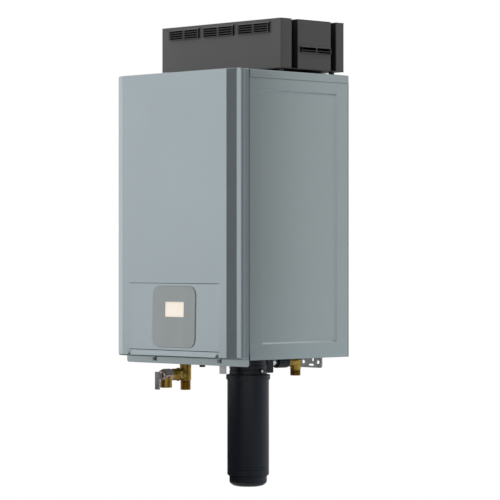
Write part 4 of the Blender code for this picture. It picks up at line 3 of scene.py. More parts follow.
import json
import math

import bmesh
import bpy
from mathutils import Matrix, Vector


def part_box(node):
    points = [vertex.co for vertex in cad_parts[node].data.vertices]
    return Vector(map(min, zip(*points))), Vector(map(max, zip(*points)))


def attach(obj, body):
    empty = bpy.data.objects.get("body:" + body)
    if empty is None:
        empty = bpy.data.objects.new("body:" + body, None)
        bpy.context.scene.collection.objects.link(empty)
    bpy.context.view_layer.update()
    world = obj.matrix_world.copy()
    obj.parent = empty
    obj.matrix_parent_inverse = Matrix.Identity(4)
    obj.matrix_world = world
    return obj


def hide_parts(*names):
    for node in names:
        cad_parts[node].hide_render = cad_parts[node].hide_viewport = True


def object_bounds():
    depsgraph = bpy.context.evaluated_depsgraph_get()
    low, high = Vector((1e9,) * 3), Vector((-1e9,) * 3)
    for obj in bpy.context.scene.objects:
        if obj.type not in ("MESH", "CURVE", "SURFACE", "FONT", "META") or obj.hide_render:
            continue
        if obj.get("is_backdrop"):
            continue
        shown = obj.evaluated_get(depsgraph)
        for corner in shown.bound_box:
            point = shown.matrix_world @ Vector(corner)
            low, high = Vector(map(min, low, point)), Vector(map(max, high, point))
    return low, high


bl_info = {
    "name": "Tankless water heater",
    "version": (1, 0, 0),
    "blender": (4, 5, 0),
    "location": "3D View > Sidebar > Heater",
    "description": "Dresses the packed tankless water heater and sets up its picture",
    "category": "Object",
}

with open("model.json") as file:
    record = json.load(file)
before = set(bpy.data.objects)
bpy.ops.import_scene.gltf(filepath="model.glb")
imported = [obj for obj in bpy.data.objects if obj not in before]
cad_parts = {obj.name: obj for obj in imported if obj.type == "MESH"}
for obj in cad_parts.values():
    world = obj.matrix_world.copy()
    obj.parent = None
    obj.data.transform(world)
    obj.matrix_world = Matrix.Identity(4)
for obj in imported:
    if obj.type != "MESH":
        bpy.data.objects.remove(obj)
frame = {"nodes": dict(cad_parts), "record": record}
CAD_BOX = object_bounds()

MERGE = 0.00001
ROUND = 64
SMALL_ROUND = 32
CANISTER_SIDES, HEAD_SIDES, FITTING_SIDES, SCREW_SIDES = 96, 80, 48, 24
FINE_EDGE, THIN_EDGE = 0.0002, 0.0003
SMOOTH = 34
COVER_SMOOTH = 14
FLAT = math.radians(0.5)
SHARP = math.radians(40)
BODY = "cabinet"
UP, TO_ROOM, TO_WALL, TO_RIGHT = (0, 0, 1), (0, -1, 0), (0, 1, 0), (1, 0, 0)

# The cartridge and its head, from the height where they meet
CARTRIDGE_AXIS = (0.120, -0.255, -0.7625)
COLLAR_R, COLLAR_H = 0.0545, 0.0125
CANISTER_R, CANISTER_H = 0.0515, 0.235
CAP_R, CAP_H, DOME_H = 0.0463, 0.014, 0.012
NECK_R, NECK_H = 0.036, 0.022
HEAD_R, HEAD_H, HEAD_BORE_R, HEAD_SOCKET_H = 0.0465, 0.0661, 0.0377, 0.034
BOSS_R, BOSS_H = 0.016, 0.0815
SEAT = 0.0003

# The head's block, with its front from the cartridge's axis and its back from the wall, the groove for
# the cartridge's lugs, the bleed screw and the neck towards the wall
BLOCK_FRONT, BLOCK_BACK, BLOCK_HALF, BLOCK_EDGE = 0.0437, -0.188, 0.022, 0.0020
LUG_GROOVE_R, LUG_INNER, LUG_OUTER, LUG_HALF = 0.0412, 0.0345, 0.0392, 0.010
BLEED_Z, BLEED_BOSS_X, BLEED_X, BLEED_R, BLEED_H = -0.7535, 0.0425, 0.0484, 0.0036, 0.0022
PASSAGE_R = 0.008
HEAD_NECK_R, HEAD_NECK_H, HEAD_NECK_BORE_R = 0.0100, 0.0214, 0.0075

# The water line behind the head, and the hot outlet
WATER_Z = -0.734
NUT_START, NUT_END = -0.160, -0.125
ELBOW_Y, ELBOW_R, LEG_R, ELBOW_END = -0.090, 0.0138, 0.0135, -0.7707
THREAD_R, THREAD_H, THREAD_PITCH, THREAD_DEPTH = 0.0132, 0.014, 0.0016, 0.0008
TEE_X, TEE_Y, TEE_Z, TEE_END = -0.110, -0.2535, -0.7695, -0.8094
TEE_R, TEE_TOP = 0.0145, -0.683
PORT_R = 0.0095
BRANCH_BORE_R, BONNET_BORE_R, STEM_BORE_R = 0.0065, 0.0115, 0.0028
FOOT_Y, FOOT_END, FOOT_BORE_R = -0.320, -0.8015, 0.011

# The stubs under the pan
NIPPLE_R, NIPPLE_FLANGE_R, NIPPLE_BORE_R = 0.0135, 0.0180, 0.0105
GLAND_X, GLAND_Y, GLAND_BORE_R = -0.199, -0.120, 0.0112

# Boxes of painted shade: the hood behind its outer faces, and the ribs of its louvres
HOOD_INSIDE_SHADE = ((-0.2155, -0.2356, -0.0085), (0.2155, -0.0164, 0.1115))
LOUVRE_RIB_SHADE = (
    ((-0.190, -0.2425, 0.0812), (0.180, -0.2395, 0.1029)),
    ((0.2195, -0.170, 0.0325), (0.2225, -0.060, 0.0447)),
)

# The cover's lower crease, a band of painted shade along it, and where its bevelled side starts
COVER_FRONT = -0.3955
CREASE_ROW = ((-0.1725, -0.3954, -0.70418), (0.1725, -0.3915, -0.70402))
CREASE_SHARE = 0.62
CREASE_SHADE = ((-0.165, -0.3960, -0.7044), (0.165, -0.3900, -0.7023))
BEVEL_START = (0.1935, 0.1945)
BEVEL_SHIFT = 0.004

# The cover's round upright corners, and the bevel that evens them out
CORNER_AXIS, CORNER_R, CORNER_REACH = (0.2064, -0.3695), 0.0186, 0.006
CORNER_SLACK, CORNER_BEVEL, UPRIGHT = 0.0002, 0.0016, 0.5

# Painted shade under the lid's skirt: dark lines on the case's sides
LID_SEAM_SHADE = (
    ((0.2200, -0.3515, -0.0393), (0.2275, -0.006, -0.0379)),
    ((-0.2275, -0.3515, -0.0393), (-0.2200, -0.006, -0.0379)),
)

# Camera and stage
CAMERA_PLACE = (4.67447, -4.65330, -0.47048)
CAMERA_TURN = math.radians(45.958)
CAMERA_LENS = 184.66
CAMERA_SENSOR = 36.0
CAMERA_SHIFT = 0.01193
FLOOR_DROP = 0.35
FLOOR_SIZE = 14.0
FLOOR_WHITE = 0.80
FLOOR_NEAR, FLOOR_FAR = 0.4, FLOOR_SIZE * 0.2
WHITE, BLUISH = (1.0, 1.0, 1.0), (0.72, 0.86, 1.0)
WORLD_GREY = 0.33

# Lamps: place, size and power
LAMPS = {
    "lamp_front_left": ((-3.2, -3.2, 1.2), 3.0, 60.0),
    "lamp_right_back": ((2.8, 3.0, 0.2), 2.0, 4.0),
    "lamp_above": ((0.4, -0.8, 3.0), 2.5, 40.0),
}

# Cards: place, reach to each side, greys along the card and tone
CARDS = {
    "card_front": ((0.0345, -1.40, -0.5), (0.39, 0, 1.5), ((0.0, 0.15), (1.0, 0.13)), WHITE),
    "card_right": (
        (0.95, 0.75, -0.5), (0, 1.25, 1.5),
        ((0.0, 0.28), (0.34, 0.24), (0.355, 0.30), (0.37, 0.56), (0.39, 0.76), (0.43, 0.82), (1.0, 0.82)),
        WHITE,
    ),
    "card_low": ((-0.35, -0.62, -1.13), (0.45, -0.30, 0.33), ((0.0, 0.02), (1.0, 0.02)), WHITE),
    "card_low_left": ((-0.85, 0.45, -1.145), (0, 0.75, 0.31), ((0.0, 0.02), (1.0, 0.02)), WHITE),
    "card_low_middle": ((0.55, -0.85, -1.145), (0.30, 0.30, 0.31), ((0.0, 0.15), (1.0, 0.25)), WHITE),
    "card_low_right": ((0.90, 0.75, -1.145), (0, 1.25, 0.31), ((0.0, 0.45), (0.4, 1.0), (1.0, 1.0)), BLUISH),
}


class Wire:
    """A node's output. Sums and products with it add their own Math nodes."""

    def __init__(self, nodes, socket):
        self.nodes = nodes
        self.socket = socket

    def math(self, operation, first, second):
        return self.nodes.add("ShaderNodeMath", {"operation": operation}, {0: first, 1: second})

    def __add__(self, other):
        return self.math("ADD", self, other)

    def __radd__(self, other):
        return self.math("ADD", other, self)

    def __sub__(self, other):
        return self.math("SUBTRACT", self, other)

    def __rsub__(self, other):
        return self.math("SUBTRACT", other, self)

    def __mul__(self, other):
        return self.math("MULTIPLY", self, other)

    def __rmul__(self, other):
        return self.math("MULTIPLY", other, self)


class Nodes:
    """The nodes of a material or of the world, from one output on."""

    def __init__(self, owner, output):
        owner.use_nodes = True
        self.tree = owner.node_tree
        self.end = self.tree.nodes[output].inputs["Surface"]
        self.place = None

    def feed(self, socket, value):
        """Links a wire to a socket, or sets its value."""
        if isinstance(value, Wire):
            self.tree.links.new(value.socket, socket)
        else:
            socket.default_value = value

    def add(self, kind, settings=None, inputs=None, output=0):
        """A node of one kind: its settings are made first, then its sockets' values or links."""
        node = self.tree.nodes.new(kind)
        for key, value in (settings or {}).items():
            if key == "stops":
                ramp = node.color_ramp
                while len(ramp.elements) < len(value):
                    ramp.elements.new(0.5)
                for element, (position, colour) in zip(ramp.elements, value):
                    element.position = position
                    element.color = colour
            else:
                setattr(node, key, value)
        for key, value in (inputs or {}).items():
            self.feed(node.inputs[key], value)
        return Wire(self, node.outputs[output])

    def glow(self, colour, strength=1.0):
        """A plain light of one colour."""
        return self.add("ShaderNodeEmission", None, {"Color": colour, "Strength": strength})

    def coordinates(self, stretch=(1, 1, 1)):
        """Object coordinates, stretched along each axis."""
        if self.place is None:
            self.place = self.add("ShaderNodeTexCoord", output="Object")
        return self.add("ShaderNodeMapping", None, {"Vector": self.place, "Scale": stretch})

    def noise(self, scale, detail=2.0, roughness=0.5, stretch=(1, 1, 1)):
        """Noise from 0 to 1, at a number of lumps to the metre."""
        inputs = {"Scale": scale, "Detail": detail, "Roughness": roughness}
        inputs["Vector"] = self.coordinates(stretch)
        return self.add("ShaderNodeTexNoise", None, inputs, "Fac")

    def between(self, share, low, high):
        """A share from 0 to 1 moved to between two values."""
        return share * (high - low) + low

    def narrowed(self, share, start, end):
        """A share that runs from 0 to 1 as the input goes from start to end."""
        inputs = {"Value": share, "From Min": start, "From Max": end}
        return self.add("ShaderNodeMapRange", {"clamp": True}, inputs)

    def tint(self, share, first, second):
        """A colour between two colours."""
        inputs = {0: share, 6: first, 7: second}
        return self.add("ShaderNodeMix", {"data_type": "RGBA"}, inputs, 2)

    def within(self, low, high):
        """1 inside a box between two corners, and 0 outside it."""
        low, high = Vector(low), Vector(high)
        inputs = {0: self.coordinates(), 1: (low + high) / 2}
        offset = self.add("ShaderNodeVectorMath", {"operation": "SUBTRACT"}, inputs)
        away = self.add("ShaderNodeVectorMath", {"operation": "ABSOLUTE"}, {0: offset})
        mask = 1.0
        for axis, reach in enumerate((high - low) / 2):
            part = self.add("ShaderNodeSeparateXYZ", None, {0: away}, axis)
            mask = part.math("LESS_THAN", part, reach) * mask
        return mask


class Finish(Nodes):
    """A material built up from its Principled shader."""

    def __init__(self, name, **sockets):
        self.material = bpy.data.materials.new(name)
        super().__init__(self.material, "Material Output")
        self.shader = self.tree.nodes["Principled BSDF"]
        for socket, value in sockets.items():
            self.set(socket.replace("_", " ").title().replace("Ior", "IOR"), value)

    def set(self, socket, value):
        """Sets or links one of the shader's sockets."""
        self.feed(self.shader.inputs[socket], value)

    def bump(self, height, strength, distance):
        """Roughens the surface by a height from 0 to 1."""
        inputs = {"Height": height, "Strength": strength, "Distance": distance}
        self.set("Normal", self.add("ShaderNodeBump", None, inputs))


def shade(colour, share):
    """A colour made darker or lighter."""
    return (*[min(1.0, part * share) for part in colour[:3]], 1.0)


def powder_coat(name, colour, roughness, metallic, shade_bands=(), gloss=0.5, grain=900.0, depth=0.00006):
    """Powder-coated sheet: slow drifts of tone, a fine orange peel, a slight gloss, and painted shade in bands
    along its seams and creases.
    """
    made = Finish(name, metallic=metallic, specular_ior_level=gloss, coat_roughness=0.25)
    drift = made.noise(5.0, 3.0)
    speck = made.noise(grain * 2.0, 1.0)
    tone = made.tint(drift, shade(colour, 0.95), shade(colour, 1.05))
    tone = made.tint(speck * 0.25, tone, shade(colour, 1.22))
    # Painted shade: each band is darkened towards a quarter of the paint's tone
    for low, high in shade_bands:
        tone = made.tint(made.within(low, high) * 0.65, tone, shade(colour, 0.25))
    made.set("Base Color", tone)
    made.set("Roughness", made.between(made.noise(40.0, 3.0), roughness - 0.03, roughness + 0.05))
    made.set("Coat Weight", 0.3 * gloss)
    made.bump(made.noise(grain, 2.0), 0.22, depth)
    return made.material


def hood_coat(name, colour):
    """The hood's dark powder coat, with painted shade behind its outer faces and on the ribs of its louvres,
    and dull behind its outer faces.
    """
    made = Finish(name, specular_ior_level=0.5)
    # Painted shade: behind the outer faces the colour falls to near black
    inside_shade = made.within(*HOOD_INSIDE_SHADE)
    speck = made.noise(1500.0, 1.0)
    tone = made.tint(made.noise(6.0, 3.0), shade(colour, 0.92), shade(colour, 1.08))
    tone = made.tint(speck * 0.3, tone, shade(colour, 1.3))
    # Painted shade on the louvres' ribs, which lie in shadow between the slots
    for corners in LOUVRE_RIB_SHADE:
        tone = made.tint(made.within(*corners) * 0.8, tone, shade(colour, 0.04))
    made.set("Base Color", made.tint(inside_shade, tone, shade(colour, 0.03)))
    made.set("Roughness", made.between(inside_shade, made.noise(40.0, 3.0) * 0.08 + 0.40, 0.95))
    made.bump(made.noise(700.0, 2.0), 0.3, 0.00008)
    return made.material


def moulded_plastic(name, colour, roughness, gloss=0.5, grain=1400.0, scuff=0.10):
    """Moulded plastic: a fine grain, faint flow marks and a few dull scuffs."""
    made = Finish(name, specular_ior_level=gloss)
    flow = made.noise(9.0, 4.0, 0.6, (1, 1, 0.25))
    dull = made.narrowed(made.noise(70.0, 5.0, 0.7), 0.52, 0.72)
    made.set("Base Color", made.tint(flow, shade(colour, 0.85), shade(colour, 1.25)))
    made.set("Roughness", made.between(dull, roughness, roughness + scuff))
    made.bump(made.noise(grain, 2.0), 0.4, 0.00005)
    return made.material


def brushed_metal(name, colour, roughness, stretch, lines=260.0):
    """Brushed or drawn metal: fine lines along one axis and soft stains."""
    made = Finish(name, metallic=1.0)
    line = made.noise(lines, 3.0, 0.65, stretch)
    stain = made.noise(14.0, 4.0, 0.6)
    tone = made.tint(line, shade(colour, 0.82), shade(colour, 1.15))
    made.set("Base Color", made.tint(made.narrowed(stain, 0.45, 0.75) * 0.35, tone, shade(colour, 0.65)))
    made.set("Roughness", made.between(line, roughness - 0.06, roughness + 0.10))
    made.bump(line, 0.25, 0.00003)
    return made.material


def cast_metal(name, colour, stained, roughness, grain=700.0):
    """Cast metal: a sandy skin, darker in its hollows, with blotches of tarnish."""
    made = Finish(name, metallic=1.0)
    blotch = made.narrowed(made.noise(55.0, 4.0, 0.6), 0.40, 0.68)
    sand = made.noise(grain, 3.0, 0.6)
    tone = made.tint(blotch, colour, stained)
    made.set("Base Color", made.tint(sand * 0.4, tone, shade(stained, 0.7)))
    made.set("Roughness", made.between(blotch, roughness, roughness + 0.15))
    made.bump(sand, 0.5, 0.00012)
    return made.material


def galvanised(name, colour, roughness):
    """Galvanised sheet: spangles, each with its own grey and its own gloss."""
    made = Finish(name, metallic=1.0)
    inputs = {"Vector": made.coordinates(), "Scale": 150.0}
    spangle = made.add("ShaderNodeTexVoronoi", None, inputs, "Color")
    grey = made.add("ShaderNodeSeparateColor", None, {"Color": spangle})
    dust = made.noise(500.0, 2.0)
    made.set("Base Color", made.tint(grey, shade(colour, 0.80), shade(colour, 1.15)))
    made.set("Roughness", made.between(grey, roughness - 0.08, roughness + 0.10))
    made.bump(dust, 0.3, 0.00004)
    return made.material


def soft_foam(name, colour):
    """Closed-cell foam: small round pits."""
    made = Finish(name, roughness=0.9)
    inputs = {"Vector": made.coordinates(), "Scale": 700.0}
    pits = made.add("ShaderNodeTexVoronoi", None, inputs, "Distance")
    made.set("Base Color", made.tint(pits, shade(colour, 0.6), shade(colour, 1.6)))
    made.bump(pits, 0.6, 0.0003)
    return made.material


def fired_ceramic(name, colour):
    """White technical ceramic: faint grey specks and a fine grain."""
    made = Finish(name)
    speck = made.narrowed(made.noise(600.0, 2.0), 0.58, 0.70)
    made.set("Base Color", made.tint(speck, colour, shade(colour, 0.7)))
    made.set("Roughness", made.between(made.noise(120.0, 3.0), 0.30, 0.48))
    made.bump(made.noise(900.0, 2.0), 0.3, 0.00004)
    return made.material


def circuit_board(name, colour):
    """A lacquered circuit board: tracks show as lighter lines under the green."""
    made = Finish(name)
    inputs = {"Vector": made.coordinates((1, 0, 1)), "Scale": 260.0}
    track = made.add("ShaderNodeTexVoronoi", {"distance": "MANHATTAN"}, inputs, "Distance")
    line = made.narrowed(track, 0.35, 0.50)
    made.set("Base Color", made.tint(line, shade(colour, 0.7), shade(colour, 2.2)))
    made.set("Roughness", made.between(line, 0.30, 0.45))
    made.bump(line, 0.3, 0.00005)
    return made.material


def lit_display(name, colour):
    """A backlit display: cream light with a fine grid of cells."""
    made = Finish(name, roughness=0.18, emission_strength=0.34)
    grid = made.add(
        "ShaderNodeTexBrick",
        {"offset": 0.0},
        {
            "Vector": made.coordinates((1, 0, 1)),
            "Scale": 1.0,
            "Color1": shade(colour, 1.0),
            "Color2": shade(colour, 0.99),
            "Mortar": shade(colour, 0.90),
            "Mortar Size": 0.00005,
        },
        "Color",
    )
    cloud = made.noise(45.0, 2.0)
    made.set("Base Color", made.tint(cloud, shade(colour, 0.97), shade(colour, 1.0)))
    made.set("Emission Color", made.tint(cloud * 0.5, grid, shade(colour, 0.96)))
    return made.material


class HeaterColours(bpy.types.PropertyGroup):
    """The finishes' colours."""

    case: bpy.props.FloatVectorProperty(
        name="Cabinet paint", description="Powder coat on the cabinet",
        subtype="COLOR", size=4, min=0, max=1, default=(0.360, 0.420, 0.430, 1.0),
    )
    cover: bpy.props.FloatVectorProperty(
        name="Cover paint", description="Powder coat on the front cover",
        subtype="COLOR", size=4, min=0, max=1, default=(0.370, 0.430, 0.455, 1.0),
    )
    hood: bpy.props.FloatVectorProperty(
        name="Hood paint", description="Dark powder coat on the vent hood",
        subtype="COLOR", size=4, min=0, max=1, default=(0.088, 0.087, 0.087, 1.0),
    )
    bezel: bpy.props.FloatVectorProperty(
        name="Panel plastic", description="Moulded surround of the control panel",
        subtype="COLOR", size=4, min=0, max=1, default=(0.390, 0.425, 0.430, 1.0),
    )
    black: bpy.props.FloatVectorProperty(
        name="Black plastic", description="Cartridge, head and nut",
        subtype="COLOR", size=4, min=0, max=1, default=(0.007, 0.009, 0.014, 1.0),
    )
    brass: bpy.props.FloatVectorProperty(
        name="Brass", description="Cast fittings",
        subtype="COLOR", size=4, min=0, max=1, default=(0.560, 0.360, 0.070, 1.0),
    )
    tarnish: bpy.props.FloatVectorProperty(
        name="Tarnish", description="Darker stain on the cast fittings",
        subtype="COLOR", size=4, min=0, max=1, default=(0.300, 0.185, 0.050, 1.0),
    )
    display: bpy.props.FloatVectorProperty(
        name="Display", description="Backlight of the display",
        subtype="COLOR", size=4, min=0, max=1, default=(1.0, 0.900, 0.780, 1.0),
    )


class HeaterSizes(bpy.types.PropertyGroup):
    """Small sizes that the solids leave out."""

    sheet_edge: bpy.props.FloatProperty(
        name="Sheet edge", description="Rounding of the folded sheets' edges",
        subtype="DISTANCE", unit="LENGTH", min=0.0001, max=0.001, default=0.0004,
    )
    moulded_edge: bpy.props.FloatProperty(
        name="Moulded edge", description="Rounding of the moulded pieces' edges",
        subtype="DISTANCE", unit="LENGTH", min=0.0001, max=0.002, default=0.0005,
    )


def sizes():
    return bpy.context.scene.heater_sizes


def colours():
    return bpy.context.scene.heater_colours


FINISHES = {}


def finish_of(slot):
    """The material of one of the record's slots, made when it is first asked for."""
    if slot in FINISHES:
        return FINISHES[slot]
    c = colours()
    steel = (0.45, 0.45, 0.46, 1.0)
    makers = {
        # The case's paint carries painted shade in bands just under the lid's skirt
        "case_paint": lambda: powder_coat(slot, c.case, 0.24, 0.75, LID_SEAM_SHADE),
        # The cover's paint carries painted shade in a band along its lower crease
        "cover_paint": lambda: powder_coat(slot, c.cover, 0.22, 0.75, (CREASE_SHADE,)),
        "hood_paint": lambda: hood_coat(slot, c.hood),
        "bezel_plastic": lambda: moulded_plastic(slot, c.bezel, 0.45),
        "black_plastic": lambda: moulded_plastic(slot, c.black, 0.36, 0.34),
        "grey_plastic": lambda: moulded_plastic(slot, (0.20, 0.205, 0.21, 1.0), 0.50),
        "brass": lambda: cast_metal(slot, c.brass, c.tarnish, 0.34),
        "cast_alloy": lambda: cast_metal(slot, (0.42, 0.43, 0.44, 1.0), (0.24, 0.24, 0.25, 1.0), 0.45),
        "copper": lambda: brushed_metal(slot, (0.68, 0.30, 0.16, 1.0), 0.34, (1, 1, 0.1)),
        "stainless": lambda: brushed_metal(slot, (0.30, 0.29, 0.28, 1.0), 0.34, (1, 1, 0.06)),
        "steel": lambda: brushed_metal(slot, steel, 0.34, (1, 0.08, 1)),
        "zinc": lambda: galvanised(slot, (0.56, 0.57, 0.58, 1.0), 0.38),
        "bracket_zinc": lambda: galvanised(slot, (0.78, 0.79, 0.81, 1.0), 0.50),
        "foam": lambda: soft_foam(slot, (0.02, 0.02, 0.022, 1.0)),
        "rubber": lambda: moulded_plastic(slot, (0.015, 0.015, 0.015, 1.0), 0.75),
        "ceramic": lambda: fired_ceramic(slot, (0.82, 0.80, 0.76, 1.0)),
        "board_green": lambda: circuit_board(slot, (0.02, 0.14, 0.06, 1.0)),
        "display_glass": lambda: lit_display(slot, c.display),
        # Painted shade: the hood's core, seen down its channels, is coloured at a twentieth of the hood's paint
        "hood_core_painted_shade": lambda: moulded_plastic(slot, shade(c.hood, 0.05), 0.85, 0.05),
        "bonnet_plate": lambda: brushed_metal(slot, (0.58, 0.46, 0.42, 1.0), 0.30, (1, 0.1, 1)),
        "bright_screw": lambda: brushed_metal(slot, (0.90, 0.90, 0.88, 1.0), 0.30, (1, 1, 1)),
    }
    FINISHES[slot] = makers[slot]()
    return FINISHES[slot]


def deselect():
    bpy.ops.object.select_all(action="DESELECT")


def only(piece):
    """Selects one piece and makes it the active one."""
    deselect()
    piece.select_set(True)
    bpy.context.view_layer.objects.active = piece


def edit(piece):
    """Opens a piece in edit mode, with nothing selected."""
    only(piece)
    bpy.ops.object.mode_set(mode="EDIT")
    bpy.ops.mesh.select_all(action="DESELECT")


def close():
    bpy.ops.object.mode_set(mode="OBJECT")


def pick(piece, test, kind="FACE"):
    """Selects the faces, edges or corners of the open piece that pass a test."""
    bpy.ops.mesh.select_mode(type=kind)
    bpy.ops.mesh.select_all(action="DESELECT")
    mesh = bmesh.from_edit_mesh(piece.data)
    parts = {"VERT": mesh.verts, "EDGE": mesh.edges, "FACE": mesh.faces}[kind]
    found = [part for part in parts if test(part)]
    for part in found:
        part.select_set(True)
    mesh.select_flush(True)
    bmesh.update_edit_mesh(piece.data)
    return len(found)


def settle(piece, smooth=SMOOTH):
    """Applies a piece's place and modifiers, and smooths its rounded faces."""
    only(piece)
    bpy.ops.object.transform_apply(location=True, rotation=True, scale=True)
    for modifier in list(piece.modifiers):
        bpy.ops.object.modifier_apply(modifier=modifier.name)
    bpy.ops.object.shade_smooth_by_angle(angle=math.radians(smooth))
    weighted = piece.modifiers.new("weighted", "WEIGHTED_NORMAL")
    weighted.keep_sharp = True
    bpy.ops.object.modifier_apply(modifier=weighted.name)
    return piece


def dress(piece, slot, body=BODY, nodes=(), finish=None):
    """Gives a piece its finish and its body, and hides the CAD nodes that it stands for."""
    piece.data.materials.clear()
    piece.data.materials.append(finish_of(finish or slot))
    if nodes:
        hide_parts(*nodes)
    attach(piece, body)
    return piece


def rounded(piece, width, segments):
    """A live bevel on a piece's sharp edges, for settle to apply."""
    bevel = piece.modifiers.new("rounded", "BEVEL")
    bevel.width = width
    bevel.segments = segments
    bevel.limit_method = "ANGLE"
    bevel.angle_limit = SHARP
    bevel.use_clamp_overlap = True
    return piece


def softened(node, width, slot, body=BODY, segments=2, smooth=SMOOTH, finish=None, shape=None):
    """A node's own shape with its doubles merged and its edges rounded, shown in its place."""
    piece = bpy.data.objects.new(f"{node}_finished", frame["nodes"][node].data.copy())
    bpy.context.scene.collection.objects.link(piece)
    edit(piece)
    bpy.ops.mesh.select_all(action="SELECT")
    bpy.ops.mesh.remove_doubles(threshold=MERGE)
    if shape:
        shape(piece)
        bpy.ops.mesh.select_all(action="SELECT")
    bpy.ops.mesh.dissolve_limited(angle_limit=FLAT)
    close()
    rounded(piece, width, segments)
    settle(piece, smooth)
    return dress(piece, slot, body, [node], finish)


def lathe(name, profile, centre, axis=UP, sides=ROUND):
    """A turned piece: a disc pushed along its axis ring by ring, through (radius, height) pairs."""
    axis, centre = Vector(axis), Vector(centre)
    turn = axis.to_track_quat("Z", "Y").to_euler()
    along = [abs(part) > 0.5 for part in axis]
    radius, height = profile[0]
    deselect()
    bpy.ops.mesh.primitive_circle_add(
        vertices=sides, radius=radius, fill_type="NGON", location=centre + axis * height, rotation=turn
    )
    piece = bpy.context.object
    piece.name = name
    bpy.ops.object.mode_set(mode="EDIT")
    bpy.ops.mesh.select_mode(type="FACE")
    bpy.ops.mesh.select_all(action="SELECT")
    for (before, low), (after, high) in zip(profile, profile[1:]):
        bpy.ops.mesh.extrude_region_move(TRANSFORM_OT_translate={"value": axis * (high - low)})
        share = after / before
        grow = [1.0 if still else share for still in along]
        bpy.ops.transform.resize(value=grow, center_override=centre + axis * high)
    bpy.ops.mesh.select_all(action="SELECT")
    bpy.ops.mesh.remove_doubles(threshold=MERGE / 10)
    bpy.ops.mesh.normals_make_consistent(inside=False)
    close()
    return settle(piece)


def slab(name, low, high, width=0.0, segments=2):
    """A block between two corners, with rounded edges."""
    low, high = Vector(low), Vector(high)
    deselect()
    bpy.ops.mesh.primitive_cube_add(size=1.0, location=(low + high) / 2, scale=high - low)
    piece = bpy.context.object
    piece.name = name
    only(piece)
    bpy.ops.object.transform_apply(location=True, rotation=True, scale=True)
    if width:
        edit(piece)
        bpy.ops.mesh.select_all(action="SELECT")
        bpy.ops.mesh.bevel(offset=width, segments=segments, affect="EDGES")
        close()
    return settle(piece)


def cutter_ran(piece, tool, operation):
    """Cuts a tool out of a piece, or joins it on, and clears the tool away."""
    step = piece.modifiers.new("step", "BOOLEAN")
    step.operation = operation
    step.solver = "EXACT"
    step.object = tool
    only(piece)
    bpy.ops.object.modifier_apply(modifier=step.name)
    deselect()
    tool.select_set(True)
    bpy.ops.object.delete()
    return piece


def fused(piece, *others):
    """A piece with others joined on."""
    for other in others:
        cutter_ran(piece, other, "UNION")
    return settle(piece)


def bored(piece, start, axis, depth, radius, sides=SMALL_ROUND):
    """A piece with a round hole bored into it."""
    tool = lathe("tool", [(radius, 0), (radius, depth)], start, axis, sides)
    return settle(cutter_ran(piece, tool, "DIFFERENCE"))


def thread(radius, length):
    """The profile of a pipe thread, from its mouth inwards."""
    core = radius - THREAD_DEPTH
    profile = [(core - THREAD_DEPTH, 0), (core, THREAD_DEPTH)]
    height = THREAD_DEPTH
    while height + THREAD_PITCH < length:
        profile += [(radius, height + THREAD_PITCH / 2), (core, height + THREAD_PITCH)]
        height += THREAD_PITCH
    return profile


def screw(name, place, axis, radius, height, slot="steel", finish=None):
    """A pan-head screw with a cross cut into its domed head."""
    profile = [(radius, 0), (radius, height * 0.45), (radius * 0.85, height * 0.85), (radius * 0.45, height)]
    head = lathe(name, profile, place, axis, SCREW_SIDES)
    across = Vector(axis).orthogonal().normalized()
    other = Vector(axis).cross(across)
    top = Vector(place) + Vector(axis) * height
    for along, side in ((across, other), (other, across)):
        reach = along * radius * 0.55 + side * radius * 0.13 + Vector(axis) * height * 0.5
        low = top - Vector([abs(part) for part in reach])
        high = top + Vector([abs(part) for part in reach])
        cutter_ran(head, slab("tool", low, high), "DIFFERENCE")
    return dress(settle(head), slot, finish=finish)


class HEATER_OT_finishes(bpy.types.Operator):
    """Gives every CAD node its own finish"""

    bl_idname = "heater.finishes"
    bl_label = "Finish the frame"

    def execute(self, context):
        for row in frame["record"]["subparts"]:
            node = frame["nodes"][row["node"]]
            for slot in node.material_slots:
                slot.material = finish_of(row["material_slot"])
        return {"FINISHED"}


class HEATER_OT_cabinet(bpy.types.Operator):
    """Rounds the folds and cut edges of the cabinet's sheets and of its wall brackets"""

    bl_idname = "heater.cabinet"
    bl_label = "Cabinet sheets"

    def execute(self, context):
        edge = sizes().sheet_edge
        for node in ("case_side_left", "case_side_right", "case_back", "top_lid", "bottom_pan"):
            softened(node, edge, "case_paint")
        for node in ("wall_bracket_upper", "wall_bracket_lower"):
            softened(node, edge, "bracket_zinc")
        softened("head_bracket", edge, "zinc")
        return {"FINISHED"}


